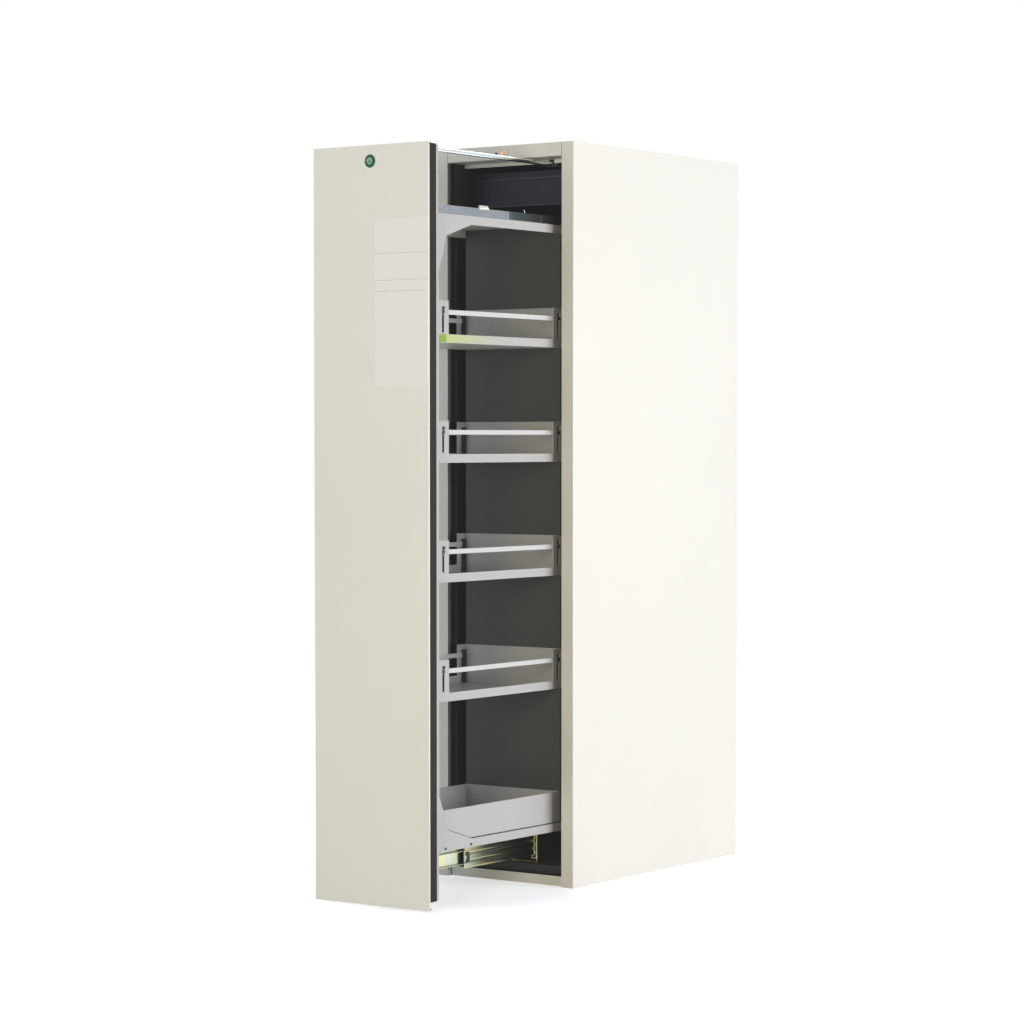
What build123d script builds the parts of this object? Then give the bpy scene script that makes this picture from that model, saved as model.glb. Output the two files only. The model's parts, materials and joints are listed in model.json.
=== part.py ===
from build123d import *
import os

# Flammable safety cabinet: a fire-resistant carcass with one tall pull-out drawer, drawn out.
# Millimetres. The origin is the middle of the carcass's footprint on the floor, +Z is up and
# the door faces -Y. Depths are measured back from the carcass's front plane; the drawer's own
# depths are those of the shut drawer, and the whole drawer is then drawn out by PULL.

# Carcass
CARCASS_WIDTH = 450.0
CARCASS_DEPTH = 830.0
CARCASS_HEIGHT = 1966.0
SHEET = 1.2
WALL = 38.0
TOP_WALL = 36.0
FLOOR_LEVEL = 47.0
CORNER_RADIUS = 2.5
REVEAL_DEPTH = 14.0
FRAME_SEAL_WIDTH = 20.0
FRAME_SEAL_THICK = 2.0
TOP_RETURN = 110.0
SILL_HEIGHT = 26.0
FIT = 0.25
OVERRUN = 5.0

# Levelling feet
FOOT_INSET = 40.0
FOOT_PAD_RADIUS = 16.0
FOOT_PAD_THICK = 8.0
FOOT_STUD_RADIUS = 5.0
FOOT_STUD_LENGTH = 30.0
FOOT_ROOM = 0.6

# Air spigots, their fire dampers and the exhaust duct
SPIGOT_RADIUS = 37.5
SPIGOT_WALL = 1.5
SPIGOT_RISE = 16.0
SPIGOT_SINK = 22.0
SPIGOT_SPACING = 150.0
SPIGOT_FLANGE = 14.0
SPIGOT_FLANGE_THICK = 2.0
DAMPER_GAP = 2.0
DAMPER_THICK = 3.0
DAMPER_SHAFT_RADIUS = 2.5
RUNNING_FIT = 0.05
DUCT_ROOM = 4.0
DUCT_SHEET = 1.2
DUCT_MOUTH = 120.0

# Closer housing under the ceiling
HOUSING_SETBACK = 122.0
HOUSING_DEPTH = 208.0
HOUSING_HEIGHT = 93.0
HOUSING_TOP_ROOM = 22.0
HOUSING_LEDGE_DROP = 18.0
HOUSING_LEDGE = 6.0
HOUSING_SHEET = 1.5

# Catch on the top rail
CATCH_LENGTH = 18.0
CATCH_HEIGHT = 9.0
CATCH_THICK = 2.0
CATCH_STUD_RADIUS = 4.0
CATCH_STUD_LENGTH = 7.0
CATCH_DROP = 20.0

# Door
PULL = 575.0
DOOR_GAP = 4.5
DOOR_TOP_GAP = 8.0
DOOR_FLOOR_GAP = 8.0
DOOR_THICK = 44.0
SKIN_LIP = 12.0
SKIN_RADIUS = 1.0
SILL_GAP = 4.0
DOOR_SEAL_WIDTH = 21.0
DOOR_SEAL_THICK = 3.0
DOOR_SEAL_INSET = 0.5
LABEL_WIDTH = 166.0
LABEL_HEIGHT = 417.0
LABEL_THICK = 0.4
LABEL_EDGE = 1.5
LABEL_DROP = 185.0

# Lock
LOCK_DROP = 40.0
ROSETTE_RADIUS = 16.5
ROSETTE_PROUD = 2.0
CYLINDER_RADIUS = 9.0
CYLINDER_PROUD = 3.0
CYLINDER_LENGTH = 30.0
KEYWAY_WIDTH = 2.0
KEYWAY_HEIGHT = 9.0
KEYWAY_DEPTH = 6.0
CAM_LENGTH = 15.0
CAM_HEIGHT = 8.0
CAM_THICK = 2.0
CASE_WIDTH = 44.0
CASE_BACK = 38.0
CASE_BELOW = 22.0
CASE_SHEET = 1.5
BOLT_WIDTH = 12.0
BOLT_THICK = 7.0
BOLT_LENGTH = 26.0
BOLT_GAP = 0.5
BOLT_THROW = 20.0
BOLT_FLUSH = 0.5

# Drawer frame
PLATE = 1.5
DRAWER_SIDE_ROOM = 29.0
DRAWER_BACK_ROOM = 43.0
BEAM_LEVEL = 145.0
BEAM_HEIGHT = 22.0
TOP_BEAM_DROP = 201.0
COLUMN_DEPTH = 36.0
REAR_FLANGE = 50.0
HAUNCH_LENGTH = 136.0
HAUNCH_HEIGHT = 116.0
# Haunch outline from the beam up to the column, as shares of its length and height.
HAUNCH_KNEE_SHARES = ((0.213, 0.284), (0.110, 0.716))
RAIL_HEIGHT = 22.0
RAIL_FOOT = 24.0

# Sump tray and shelves
TRAY_HEIGHT = 83.0
TRAY_SIDE_GAP = 1.5
SHELF_COUNT = 4
SHELF_LEVEL = 525.0
SHELF_LIP = 22.0
END_WALL_HEIGHT = 106.0
END_PLATE_LENGTH = 48.0
END_PLATE_LAP = 11.0
SLOT_INSET = 13.0
SLOT_WIDTH = 8.0
SLOT_BASE = 4.0
SLOT_HEAD = 15.0
NOTCH_LENGTH = 10.0

# Guard rails
GUARD_HEIGHT = 12.0
GUARD_THICK = 3.0
GUARD_LEVEL = 77.0
GUARD_GAP = 0.4
PIN_CLEARANCE = 0.4
PIN_HEAD_RADIUS = 5.0
PIN_HEAD_THICK = 1.2
PIN_HEAD_GAP = 0.6

# Top guide bar and its guide
BAR_OFFSET = 100.0
BAR_WIDTH = 12.0
BAR_HEIGHT = 10.0
BAR_DROP = 8.0
BAR_LENGTH = 671.0
GUIDE_WALL = 8.0
GUIDE_GAP = 0.5
GUIDE_LENGTH = 26.0

# Telescopic slides in their bracket
BRACKET_SETBACK = 80.0
BRACKET_BACK_ROOM = 52.0
BRACKET_HALF_WIDTH = 53.0
BRACKET_SHEET = 2.0
BRACKET_TOP_GAP = 9.0
SLIDE_LEVEL = 95.0
SLIDE_SHEET = 2.0
OUTER_HEIGHT = 76.0
OUTER_REACH = 16.0
BALL_ROOM = 8.0
BALL_GAP = 0.3
BALL_COUNT = 9
SLIDE_WEB_GAP = 2.0
MIDDLE_REACH = 12.0
BEAD_HEIGHT = 8.0
BEAD_PROUD = 1.0
INNER_REACH = 11.0
CARRIER_HALF_WIDTH = 32.0
CARRIER_BACK_ROOM = 30.0
SLIDE_FRONT_GAP = 2.0
MIDDLE_LENGTH = 644.0
CAGE_LENGTH = 250.0
CAGE_THICK = 2.0
CAGE_WIDTH = 5.0
STOP_LENGTH = 14.0
STOP_HEIGHT = 26.0
STOP_THICK = 1.5
BUFFER_HEIGHT = 66.0
BUFFER_LENGTH = 40.0
BUFFER_GAP = 0.5

# Shares of the drawer's travel that the middle members and the ball cages follow
MIDDLE_SHARE = 0.5
OUTER_CAGE_SHARE = 0.25
INNER_CAGE_SHARE = 0.75

# Worked-out places
HALF_WIDTH = CARCASS_WIDTH / 2
OPENING_HALF = HALF_WIDTH - WALL
FRONT = -CARCASS_DEPTH / 2
BACK = CARCASS_DEPTH / 2
INNER_BACK = CARCASS_DEPTH - WALL
CEILING = CARCASS_HEIGHT - TOP_WALL
SILL_SETBACK = SKIN_LIP + SILL_GAP
FLOOR_FRONT = DOOR_THICK + SILL_GAP
DOOR_HALF = OPENING_HALF - DOOR_GAP
DOOR_TOP = CEILING - DOOR_TOP_GAP
SEAL_HALF = DOOR_HALF - DOOR_SEAL_INSET
CORE_HALF = SEAL_HALF - DOOR_SEAL_THICK
SEAL_BOTTOM = SILL_HEIGHT + SILL_GAP
SEAL_TOP = DOOR_TOP - DOOR_SEAL_THICK - DOOR_SEAL_INSET
CORE_BOTTOM = SEAL_BOTTOM + DOOR_SEAL_THICK
CORE_TOP = SEAL_TOP - DOOR_SEAL_THICK
LOCK_LEVEL = DOOR_TOP - LOCK_DROP
BOLT_DEPTH = SKIN_LIP + DOOR_SEAL_WIDTH / 2
DUCT_DEPTH = 2 * SPIGOT_RADIUS + 2 * DUCT_ROOM + DUCT_SHEET
DUCT_FRONT = INNER_BACK - DUCT_DEPTH
SPIGOT_DEPTH = INNER_BACK - DUCT_ROOM - SPIGOT_RADIUS
SPIGOT_TOP = CARCASS_HEIGHT + SPIGOT_RISE
SPIGOT_BOTTOM = CEILING - SPIGOT_SINK
DAMPER_LEVEL = (SPIGOT_TOP + SPIGOT_BOTTOM) / 2
SHELF_HALF = OPENING_HALF - DRAWER_SIDE_ROOM
FRAME_HALF = SHELF_HALF - PLATE
DRAWER_REAR = DUCT_FRONT - DRAWER_BACK_ROOM
COLUMN_REAR = DOOR_THICK + COLUMN_DEPTH
PANEL_FRONT = DRAWER_REAR - REAR_FLANGE
BEAM_TOP = BEAM_LEVEL + BEAM_HEIGHT
TOP_BEAM_LEVEL = CEILING - TOP_BEAM_DROP
TOP_BEAM_TOP = TOP_BEAM_LEVEL + BEAM_HEIGHT
SHELF_PITCH = (TOP_BEAM_LEVEL - SHELF_LEVEL) / SHELF_COUNT
BAR_LEVEL = CEILING - BAR_DROP - BAR_HEIGHT
BRACKET_TOP = BEAM_LEVEL - BRACKET_TOP_GAP
BRACKET_REAR = INNER_BACK - BRACKET_BACK_ROOM
BRACKET_INNER = BRACKET_HALF_WIDTH - BRACKET_SHEET
BRACKET_FLOOR = FLOOR_LEVEL + BRACKET_SHEET
MIDDLE_HEIGHT = OUTER_HEIGHT - 2 * SLIDE_SHEET - 2 * BALL_ROOM
INNER_HEIGHT = MIDDLE_HEIGHT - 2 * SLIDE_SHEET - 2 * BALL_ROOM
MIDDLE_OUTER_FACE = BRACKET_INNER - SLIDE_SHEET - SLIDE_WEB_GAP
SLIDE_FRONT = DOOR_THICK + SLIDE_FRONT_GAP
CARRIER_REAR = DRAWER_REAR - CARRIER_BACK_ROOM
SIDES = {"left": -1, "right": 1}


def fixed(depth):
    """Return the y of a depth in the carcass."""
    return FRONT + depth


def drawn(depth):
    """Return the y of a depth in the shut drawer, once it is drawn out."""
    return FRONT + depth - PULL


def part_drawn(depth, share):
    """Return the y of a depth on a slide piece that follows a share of the drawer's travel."""
    return FRONT + depth - PULL * share


def block(x, y, z):
    """Return a box between two values on each axis."""
    size = [max(pair) - min(pair) for pair in (x, y, z)]
    centre = [(pair[0] + pair[1]) / 2 for pair in (x, y, z)]
    return Pos(*centre) * Box(*size)


def across(half):
    """Return the x range of a piece that is centred on the cabinet."""
    return (-half, half)


def on_side(side, inner, outer):
    """Return the x range between two distances from the middle, on one side."""
    return (side * inner, side * outer)


def prism_along_x(points, x):
    """Return a solid with an outline of (y, z) points, between two values of x."""
    outline = make_face(Polyline(*points, close=True))
    return extrude(Plane.YZ.offset(min(x)) * outline, amount=max(x) - min(x), dir=(1, 0, 0))


def prism_along_z(points, z):
    """Return a solid with an outline of (x, y) points, between two values of z."""
    outline = make_face(Polyline(*points, close=True))
    return extrude(Plane.XY.offset(min(z)) * outline, amount=max(z) - min(z), dir=(0, 0, 1))


def rod_along_x(radius, x, y, z):
    """Return a round bar between two values of x."""
    return Pos((x[0] + x[1]) / 2, y, z) * Rot(0, 90, 0) * Cylinder(radius, abs(x[1] - x[0]))


def rod_along_y(radius, x, y, z):
    """Return a round bar between two values of y."""
    return Pos(x, (y[0] + y[1]) / 2, z) * Rot(90, 0, 0) * Cylinder(radius, abs(y[1] - y[0]))


def rod_along_z(radius, x, y, z):
    """Return a round bar between two values of z."""
    return Pos(x, y, (z[0] + z[1]) / 2) * Cylinder(radius, abs(z[1] - z[0]))


def side_panel(side):
    """Outer side sheet, folded at the front into the post and into the opening."""
    inner = HALF_WIDTH - SHEET
    reveal = OPENING_HALF + SHEET
    points = [
        (side * HALF_WIDTH, fixed(0)),
        (side * OPENING_HALF, fixed(0)),
        (side * OPENING_HALF, fixed(REVEAL_DEPTH)),
        (side * reveal, fixed(REVEAL_DEPTH)),
        (side * reveal, fixed(SHEET)),
        (side * inner, fixed(SHEET)),
        (side * inner, BACK),
        (side * HALF_WIDTH, BACK),
    ]
    panel = prism_along_z(points, (SHEET, CARCASS_HEIGHT - SHEET))
    place = (side * HALF_WIDTH, FRONT, CARCASS_HEIGHT / 2)
    corner = panel.edges().filter_by(Axis.Z).sort_by_distance(place)[0]
    return fillet(corner, CORNER_RADIUS)


def top_panel():
    """Roof sheet, folded down into the top rail and back under it."""
    under = CEILING + SHEET
    roof = block(across(HALF_WIDTH), (FRONT, BACK), (CARCASS_HEIGHT - SHEET, CARCASS_HEIGHT))
    rail = block(across(OPENING_HALF), (FRONT, fixed(SHEET)), (CEILING, CARCASS_HEIGHT - SHEET))
    lining = block(across(OPENING_HALF), (FRONT, fixed(TOP_RETURN)), (CEILING, under))
    panel = roof + rail + lining
    for side in SIDES.values():
        panel -= spigot_hole(side)
    return panel - bolt_hole()


def base_pan():
    """Floor sheet, folded up into the sill behind the door's lower edge."""
    pan = block(across(HALF_WIDTH), (FRONT, BACK), (0, SHEET))
    pan -= block(across(OPENING_HALF), (fixed(-OVERRUN), fixed(SILL_SETBACK)), (-OVERRUN, OVERRUN))
    face = (fixed(SILL_SETBACK), fixed(SILL_SETBACK + SHEET))
    pan += block(across(OPENING_HALF), face, (0, SILL_HEIGHT))
    top = (SILL_HEIGHT - SHEET, SILL_HEIGHT)
    pan += block(across(OPENING_HALF), (fixed(SILL_SETBACK), fixed(FLOOR_FRONT)), top)
    for x, y in foot_places():
        pan -= rod_along_z(FOOT_PAD_RADIUS + FOOT_ROOM, x, y, (-OVERRUN, OVERRUN))
    return pan


def back_panel():
    """Outer back sheet."""
    return block(across(HALF_WIDTH - SHEET), (BACK - SHEET, BACK), (SHEET, CARCASS_HEIGHT - SHEET))


def side_fire_board(side):
    """Side fire board, cut back at the front for the seal strip."""
    outer = HALF_WIDTH - SHEET
    step = OPENING_HALF + FRAME_SEAL_THICK
    seal_back = REVEAL_DEPTH + FRAME_SEAL_WIDTH
    points = [
        (side * outer, fixed(SHEET)),
        (side * step, fixed(SHEET)),
        (side * step, fixed(seal_back)),
        (side * OPENING_HALF, fixed(seal_back)),
        (side * OPENING_HALF, BACK - SHEET),
        (side * outer, BACK - SHEET),
    ]
    return prism_along_z(points, (SHEET, CARCASS_HEIGHT - SHEET))


def top_fire_board():
    """Ceiling board above the top rail's return, with the spigots' holes."""
    points = [
        (fixed(SHEET), CEILING + SHEET),
        (fixed(TOP_RETURN), CEILING + SHEET),
        (fixed(TOP_RETURN), CEILING),
        (fixed(INNER_BACK), CEILING),
        (fixed(INNER_BACK), CARCASS_HEIGHT - SHEET),
        (fixed(SHEET), CARCASS_HEIGHT - SHEET),
    ]
    board = prism_along_x(points, across(OPENING_HALF))
    for side in SIDES.values():
        board -= spigot_hole(side)
    return board - bolt_hole()


def floor_fire_board():
    """Floor board behind the sill, bored for the levelling feet."""
    board = block(across(OPENING_HALF), (fixed(FLOOR_FRONT), fixed(INNER_BACK)), (SHEET, FLOOR_LEVEL))
    for x, y in foot_places():
        board -= rod_along_z(FOOT_PAD_RADIUS + FOOT_ROOM, x, y, (0, FOOT_PAD_THICK + FOOT_ROOM))
        board -= rod_along_z(FOOT_STUD_RADIUS + FIT, x, y, (0, FLOOR_LEVEL + OVERRUN))
    return board


def back_fire_board():
    """Back board between the side boards."""
    return block(across(OPENING_HALF), (fixed(INNER_BACK), BACK - SHEET), (SHEET, CARCASS_HEIGHT - SHEET))


def frame_seals():
    """Heat-swelling seal strips in the opening's two upright reveals."""
    depth = (fixed(REVEAL_DEPTH), fixed(REVEAL_DEPTH + FRAME_SEAL_WIDTH))
    height = (SILL_HEIGHT, CEILING)
    outer = OPENING_HALF + FRAME_SEAL_THICK
    strips = [block(on_side(side, OPENING_HALF, outer), depth, height) for side in SIDES.values()]
    return Compound(children=strips)


def foot_places():
    """Return the x and y of the four levelling feet."""
    reach = OPENING_HALF - FOOT_INSET
    depths = (FLOOR_FRONT + FOOT_INSET, INNER_BACK - FOOT_INSET)
    return [(side * reach, fixed(depth)) for side in SIDES.values() for depth in depths]


def levelling_feet():
    """Four feet, each a pad with a threaded stud, set flush with the base."""
    feet = []
    for x, y in foot_places():
        foot = rod_along_z(FOOT_PAD_RADIUS, x, y, (0, FOOT_PAD_THICK))
        feet.append(foot + rod_along_z(FOOT_STUD_RADIUS, x, y, (0, FOOT_PAD_THICK + FOOT_STUD_LENGTH)))
    return Compound(children=feet)


def spigot_x(side):
    """Return the x of a spigot's middle."""
    return side * SPIGOT_SPACING / 2


def spigot_hole(side):
    """Hole through the roof for one spigot."""
    height = (CEILING - OVERRUN, CARCASS_HEIGHT + OVERRUN)
    return rod_along_z(SPIGOT_RADIUS + FIT, spigot_x(side), fixed(SPIGOT_DEPTH), height)


def spigot(side):
    """Air spigot with its roof flange, bored for the damper's shaft."""
    x = spigot_x(side)
    y = fixed(SPIGOT_DEPTH)
    roof = (CARCASS_HEIGHT, CARCASS_HEIGHT + SPIGOT_FLANGE_THICK)
    body = rod_along_z(SPIGOT_RADIUS, x, y, (SPIGOT_BOTTOM, SPIGOT_TOP))
    body += rod_along_z(SPIGOT_RADIUS + SPIGOT_FLANGE, x, y, roof)
    bore = (SPIGOT_BOTTOM - OVERRUN, SPIGOT_TOP + OVERRUN)
    body -= rod_along_z(SPIGOT_RADIUS - SPIGOT_WALL, x, y, bore)
    shaft = (x - SPIGOT_RADIUS, x + SPIGOT_RADIUS)
    return body - rod_along_x(DAMPER_SHAFT_RADIUS + RUNNING_FIT, shaft, y, DAMPER_LEVEL)


def damper(side):
    """Fire damper: a round flap on a cross shaft, shown open."""
    x = spigot_x(side)
    y = fixed(SPIGOT_DEPTH)
    radius = SPIGOT_RADIUS - SPIGOT_WALL - DAMPER_GAP
    flap = rod_along_y(radius, x, (y - DAMPER_THICK / 2, y + DAMPER_THICK / 2), DAMPER_LEVEL)
    shaft = (x - SPIGOT_RADIUS, x + SPIGOT_RADIUS)
    return flap + rod_along_x(DAMPER_SHAFT_RADIUS, shaft, y, DAMPER_LEVEL)


def exhaust_duct():
    """Upright duct on the back wall, from near the floor to the exhaust spigot."""
    x = spigot_x(SIDES["left"])
    outer = SPIGOT_RADIUS + DUCT_ROOM + DUCT_SHEET
    inner = SPIGOT_RADIUS + DUCT_ROOM
    height = (FLOOR_LEVEL + DUCT_MOUTH, CEILING)
    duct = block((x - outer, x + outer), (fixed(DUCT_FRONT), fixed(INNER_BACK)), height)
    hollow = (fixed(DUCT_FRONT + DUCT_SHEET), fixed(INNER_BACK + OVERRUN))
    room = (height[0] - OVERRUN, height[1] + OVERRUN)
    return duct - block((x - inner, x + inner), hollow, room)


def closer_housing():
    """Sheet-metal housing of the closing device, across the cabinet below the ceiling."""
    top = CEILING - HOUSING_TOP_ROOM
    bottom = top - HOUSING_HEIGHT
    ledge = top - HOUSING_LEDGE_DROP
    rear = HOUSING_SETBACK + HOUSING_DEPTH
    skin = HOUSING_SHEET
    outer = [
        (fixed(HOUSING_SETBACK), bottom),
        (fixed(rear), bottom),
        (fixed(rear), top),
        (fixed(HOUSING_SETBACK + HOUSING_LEDGE), top),
        (fixed(HOUSING_SETBACK + HOUSING_LEDGE), ledge),
        (fixed(HOUSING_SETBACK), ledge),
    ]
    inner = [
        (fixed(HOUSING_SETBACK + skin), bottom + skin),
        (fixed(rear + OVERRUN), bottom + skin),
        (fixed(rear + OVERRUN), top - skin),
        (fixed(HOUSING_SETBACK + HOUSING_LEDGE + skin), top - skin),
        (fixed(HOUSING_SETBACK + HOUSING_LEDGE + skin), ledge - skin),
        (fixed(HOUSING_SETBACK + skin), ledge - skin),
    ]
    return prism_along_x(outer, across(OPENING_HALF)) - prism_along_x(inner, across(OPENING_HALF - skin))


def top_catch():
    """Small catch plate with a turned stud on the face of the top rail."""
    level = CARCASS_HEIGHT - CATCH_DROP
    face = (fixed(-CATCH_THICK), FRONT)
    height = (level - CATCH_HEIGHT / 2, level + CATCH_HEIGHT / 2)
    plate = block(across(CATCH_LENGTH / 2), face, height)
    stud = (fixed(-CATCH_THICK - CATCH_STUD_LENGTH), FRONT)
    return plate + rod_along_y(CATCH_STUD_RADIUS, 0, stud, level)


def bar_x(half):
    """Return the x range of the top guide bar, or of what fits round it."""
    return (BAR_OFFSET - half, BAR_OFFSET + half)


def bar_guide():
    """Plastic guide that hangs under the top rail and holds the bar on three sides."""
    inner = BAR_WIDTH / 2 + GUIDE_GAP
    length = (fixed(TOP_RETURN - GUIDE_LENGTH), fixed(TOP_RETURN))
    guide = block(bar_x(inner + GUIDE_WALL), length, (BAR_LEVEL, CEILING))
    groove = (fixed(TOP_RETURN - GUIDE_LENGTH - OVERRUN), fixed(TOP_RETURN + OVERRUN))
    return guide - block(bar_x(inner), groove, (BAR_LEVEL - OVERRUN, BAR_LEVEL + BAR_HEIGHT + GUIDE_GAP))


def guide_bar():
    """Bar from the top of the door into the carcass, which keeps the drawer upright."""
    length = (drawn(DOOR_THICK), drawn(DOOR_THICK + BAR_LENGTH))
    return block(bar_x(BAR_WIDTH / 2), length, (BAR_LEVEL, BAR_LEVEL + BAR_HEIGHT))


def door_skin():
    """Folded steel front of the door: a shallow pan, open to the rear."""
    height = (DOOR_FLOOR_GAP, DOOR_TOP)
    skin = block(across(DOOR_HALF), (drawn(0), drawn(SKIN_LIP)), height)
    edges = skin.edges().filter_by(Axis.Z).group_by(Axis.Y)[0]
    skin = fillet(edges, SKIN_RADIUS)
    room = (DOOR_FLOOR_GAP + SHEET, DOOR_TOP - SHEET)
    skin -= block(across(DOOR_HALF - SHEET), (drawn(SHEET), drawn(SKIN_LIP + OVERRUN)), room)
    return skin - lock_bore(CYLINDER_RADIUS + FIT, (drawn(-OVERRUN), drawn(OVERRUN)))


def lock_bore(radius, y):
    """Round hole for the lock, along the door's thickness."""
    return rod_along_y(radius, 0, y, LOCK_LEVEL)


def case_height():
    """Return the lowest and highest level of the lock case."""
    return (LOCK_LEVEL - CASE_BELOW, CORE_TOP)


def door_fire_board():
    """Fire board that fills the door, with the pocket of the lock case."""
    depth = (drawn(SHEET), drawn(DOOR_THICK - SHEET))
    board = block(across(CORE_HALF), depth, (CORE_BOTTOM, CORE_TOP))
    low, high = case_height()
    return board - block(across(CASE_WIDTH / 2), (drawn(0), drawn(CASE_BACK)), (low, high + OVERRUN))


def door_seal():
    """Dark heat-swelling seal round the door's edge."""
    depth = (drawn(SKIN_LIP), drawn(SKIN_LIP + DOOR_SEAL_WIDTH))
    cut = (drawn(SKIN_LIP - OVERRUN), drawn(SKIN_LIP + DOOR_SEAL_WIDTH + OVERRUN))
    seal = block(across(SEAL_HALF), depth, (SEAL_BOTTOM, SEAL_TOP))
    seal -= block(across(CORE_HALF), cut, (CORE_BOTTOM, CORE_TOP))
    return seal - bolt_way(drawn(BOLT_DEPTH), (CORE_TOP - OVERRUN, DOOR_TOP))


def door_inner_pan():
    """Inner sheet of the door, folded forward over the fire board's edge."""
    half = CORE_HALF + SHEET
    front = SKIN_LIP + DOOR_SEAL_WIDTH
    height = (CORE_BOTTOM - SHEET, CORE_TOP + SHEET)
    pan = block(across(half), (drawn(front), drawn(DOOR_THICK)), height)
    room = (drawn(front - OVERRUN), drawn(DOOR_THICK - SHEET))
    return pan - block(across(CORE_HALF), room, (CORE_BOTTOM, CORE_TOP))


def door_label():
    """Blank sheet on the door."""
    right = DOOR_HALF - LABEL_EDGE
    top = DOOR_TOP - LABEL_DROP
    height = (top - LABEL_HEIGHT, top)
    return block((right - LABEL_WIDTH, right), (drawn(-LABEL_THICK), drawn(0)), height)


def lock_rosette():
    """Round disc of the lock on the door's face."""
    rosette = lock_bore(ROSETTE_RADIUS, (drawn(-ROSETTE_PROUD), drawn(0)))
    return rosette - lock_bore(CYLINDER_RADIUS + FIT, (drawn(-OVERRUN), drawn(OVERRUN)))


def lock_case():
    """Sheet case of the lock inside the door, open at the front and over the bolt."""
    low, high = case_height()
    half = CASE_WIDTH / 2
    case = block(across(half), (drawn(SHEET), drawn(CASE_BACK)), (low, high))
    room = (drawn(SHEET - OVERRUN), drawn(CASE_BACK - CASE_SHEET))
    case -= block(across(half - CASE_SHEET), room, (low + CASE_SHEET, high - CASE_SHEET))
    return case - bolt_way(drawn(BOLT_DEPTH), (high - CASE_SHEET - OVERRUN, high + OVERRUN))


def lock_cylinder():
    """Turning core of the lock, with its key slot and the cam behind it."""
    length = (drawn(-CYLINDER_PROUD), drawn(CYLINDER_LENGTH - CYLINDER_PROUD))
    core = lock_bore(CYLINDER_RADIUS, length)
    key = (drawn(-CYLINDER_PROUD), drawn(KEYWAY_DEPTH - CYLINDER_PROUD))
    slot = (LOCK_LEVEL - KEYWAY_HEIGHT / 2, LOCK_LEVEL + KEYWAY_HEIGHT / 2)
    core -= block(across(KEYWAY_WIDTH / 2), key, slot)
    cam = (length[1], length[1] + CAM_THICK)
    return core + block((0, CAM_LENGTH), cam, (LOCK_LEVEL - CAM_HEIGHT / 2, LOCK_LEVEL + CAM_HEIGHT / 2))


def bolt_way(y, z):
    """Clear way for the lock bolt."""
    half = BOLT_THICK / 2 + BOLT_GAP
    return block(across(BOLT_WIDTH / 2 + BOLT_GAP), (y - half, y + half), z)


def bolt_hole():
    """Hole in the top rail's underside that takes the thrown bolt."""
    return bolt_way(fixed(BOLT_DEPTH), (CEILING - OVERRUN, SEAL_TOP + BOLT_THROW + OVERRUN))


def lock_bolt():
    """Lock bolt, drawn back inside the door's top edge."""
    y = drawn(BOLT_DEPTH)
    top = SEAL_TOP - BOLT_FLUSH
    return block(across(BOLT_WIDTH / 2), (y - BOLT_THICK / 2, y + BOLT_THICK / 2), (top - BOLT_LENGTH, top))


def haunch(side, level, rise):
    """Corner plate between the column and a beam; rise is +1 from the floor beam, -1 from the top."""
    points = [(drawn(DOOR_THICK), level), (drawn(COLUMN_REAR + HAUNCH_LENGTH), level)]
    for length_share, height_share in HAUNCH_KNEE_SHARES:
        knee = COLUMN_REAR + HAUNCH_LENGTH * length_share
        points.append((drawn(knee), level + rise * HAUNCH_HEIGHT * height_share))
    points.append((drawn(COLUMN_REAR), level + rise * HAUNCH_HEIGHT))
    points.append((drawn(DOOR_THICK), level + rise * HAUNCH_HEIGHT))
    return prism_along_x(points, on_side(side, FRAME_HALF - PLATE, FRAME_HALF))


def frame_beam(base, top, knee, rise):
    """Plate of the drawer frame between two cheeks, which end in the corner plates."""
    depth = (drawn(DOOR_THICK), drawn(DRAWER_REAR))
    pieces = [block(across(FRAME_HALF - PLATE), depth, (top - PLATE, top))]
    for side in SIDES.values():
        cheek = block(on_side(side, FRAME_HALF - PLATE, FRAME_HALF), depth, (base, top))
        pieces.append(cheek + haunch(side, knee, rise))
    return Compound(children=pieces)


def bottom_beam():
    """Floor plate of the drawer frame."""
    return frame_beam(BEAM_LEVEL, BEAM_TOP, BEAM_TOP, 1)


def top_beam():
    """Top plate of the drawer frame."""
    return frame_beam(TOP_BEAM_LEVEL, TOP_BEAM_TOP, TOP_BEAM_LEVEL, -1)


def front_column():
    """Channel-shaped upright behind the door, between the corner plates."""
    half = FRAME_HALF - PLATE
    height = (BEAM_TOP, TOP_BEAM_TOP - PLATE)
    column = block(across(half), (drawn(DOOR_THICK), drawn(COLUMN_REAR)), height)
    room = (drawn(DOOR_THICK - OVERRUN), drawn(COLUMN_REAR - PLATE))
    return column - block(across(half - PLATE), room, (height[0] - OVERRUN, height[1] + OVERRUN))


def rear_panel():
    """Rear wall of the drawer, with its edges folded back."""
    half = FRAME_HALF - PLATE
    height = (BEAM_TOP, TOP_BEAM_TOP - PLATE)
    panel = block(across(half), (drawn(PANEL_FRONT), drawn(DRAWER_REAR)), height)
    room = (drawn(PANEL_FRONT + PLATE), drawn(DRAWER_REAR + OVERRUN))
    return panel - block(across(half - PLATE), room, (height[0] - OVERRUN, height[1] + OVERRUN))


def top_rail(side):
    """Angle rail on the top beam's edge."""
    depth = (drawn(DOOR_THICK), drawn(DRAWER_REAR))
    upright = (TOP_BEAM_TOP, TOP_BEAM_TOP + RAIL_HEIGHT)
    rail = block(on_side(side, FRAME_HALF - PLATE, FRAME_HALF), depth, upright)
    foot = (TOP_BEAM_TOP, TOP_BEAM_TOP + PLATE)
    return rail + block(on_side(side, FRAME_HALF - RAIL_FOOT, FRAME_HALF), depth, foot)


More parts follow.
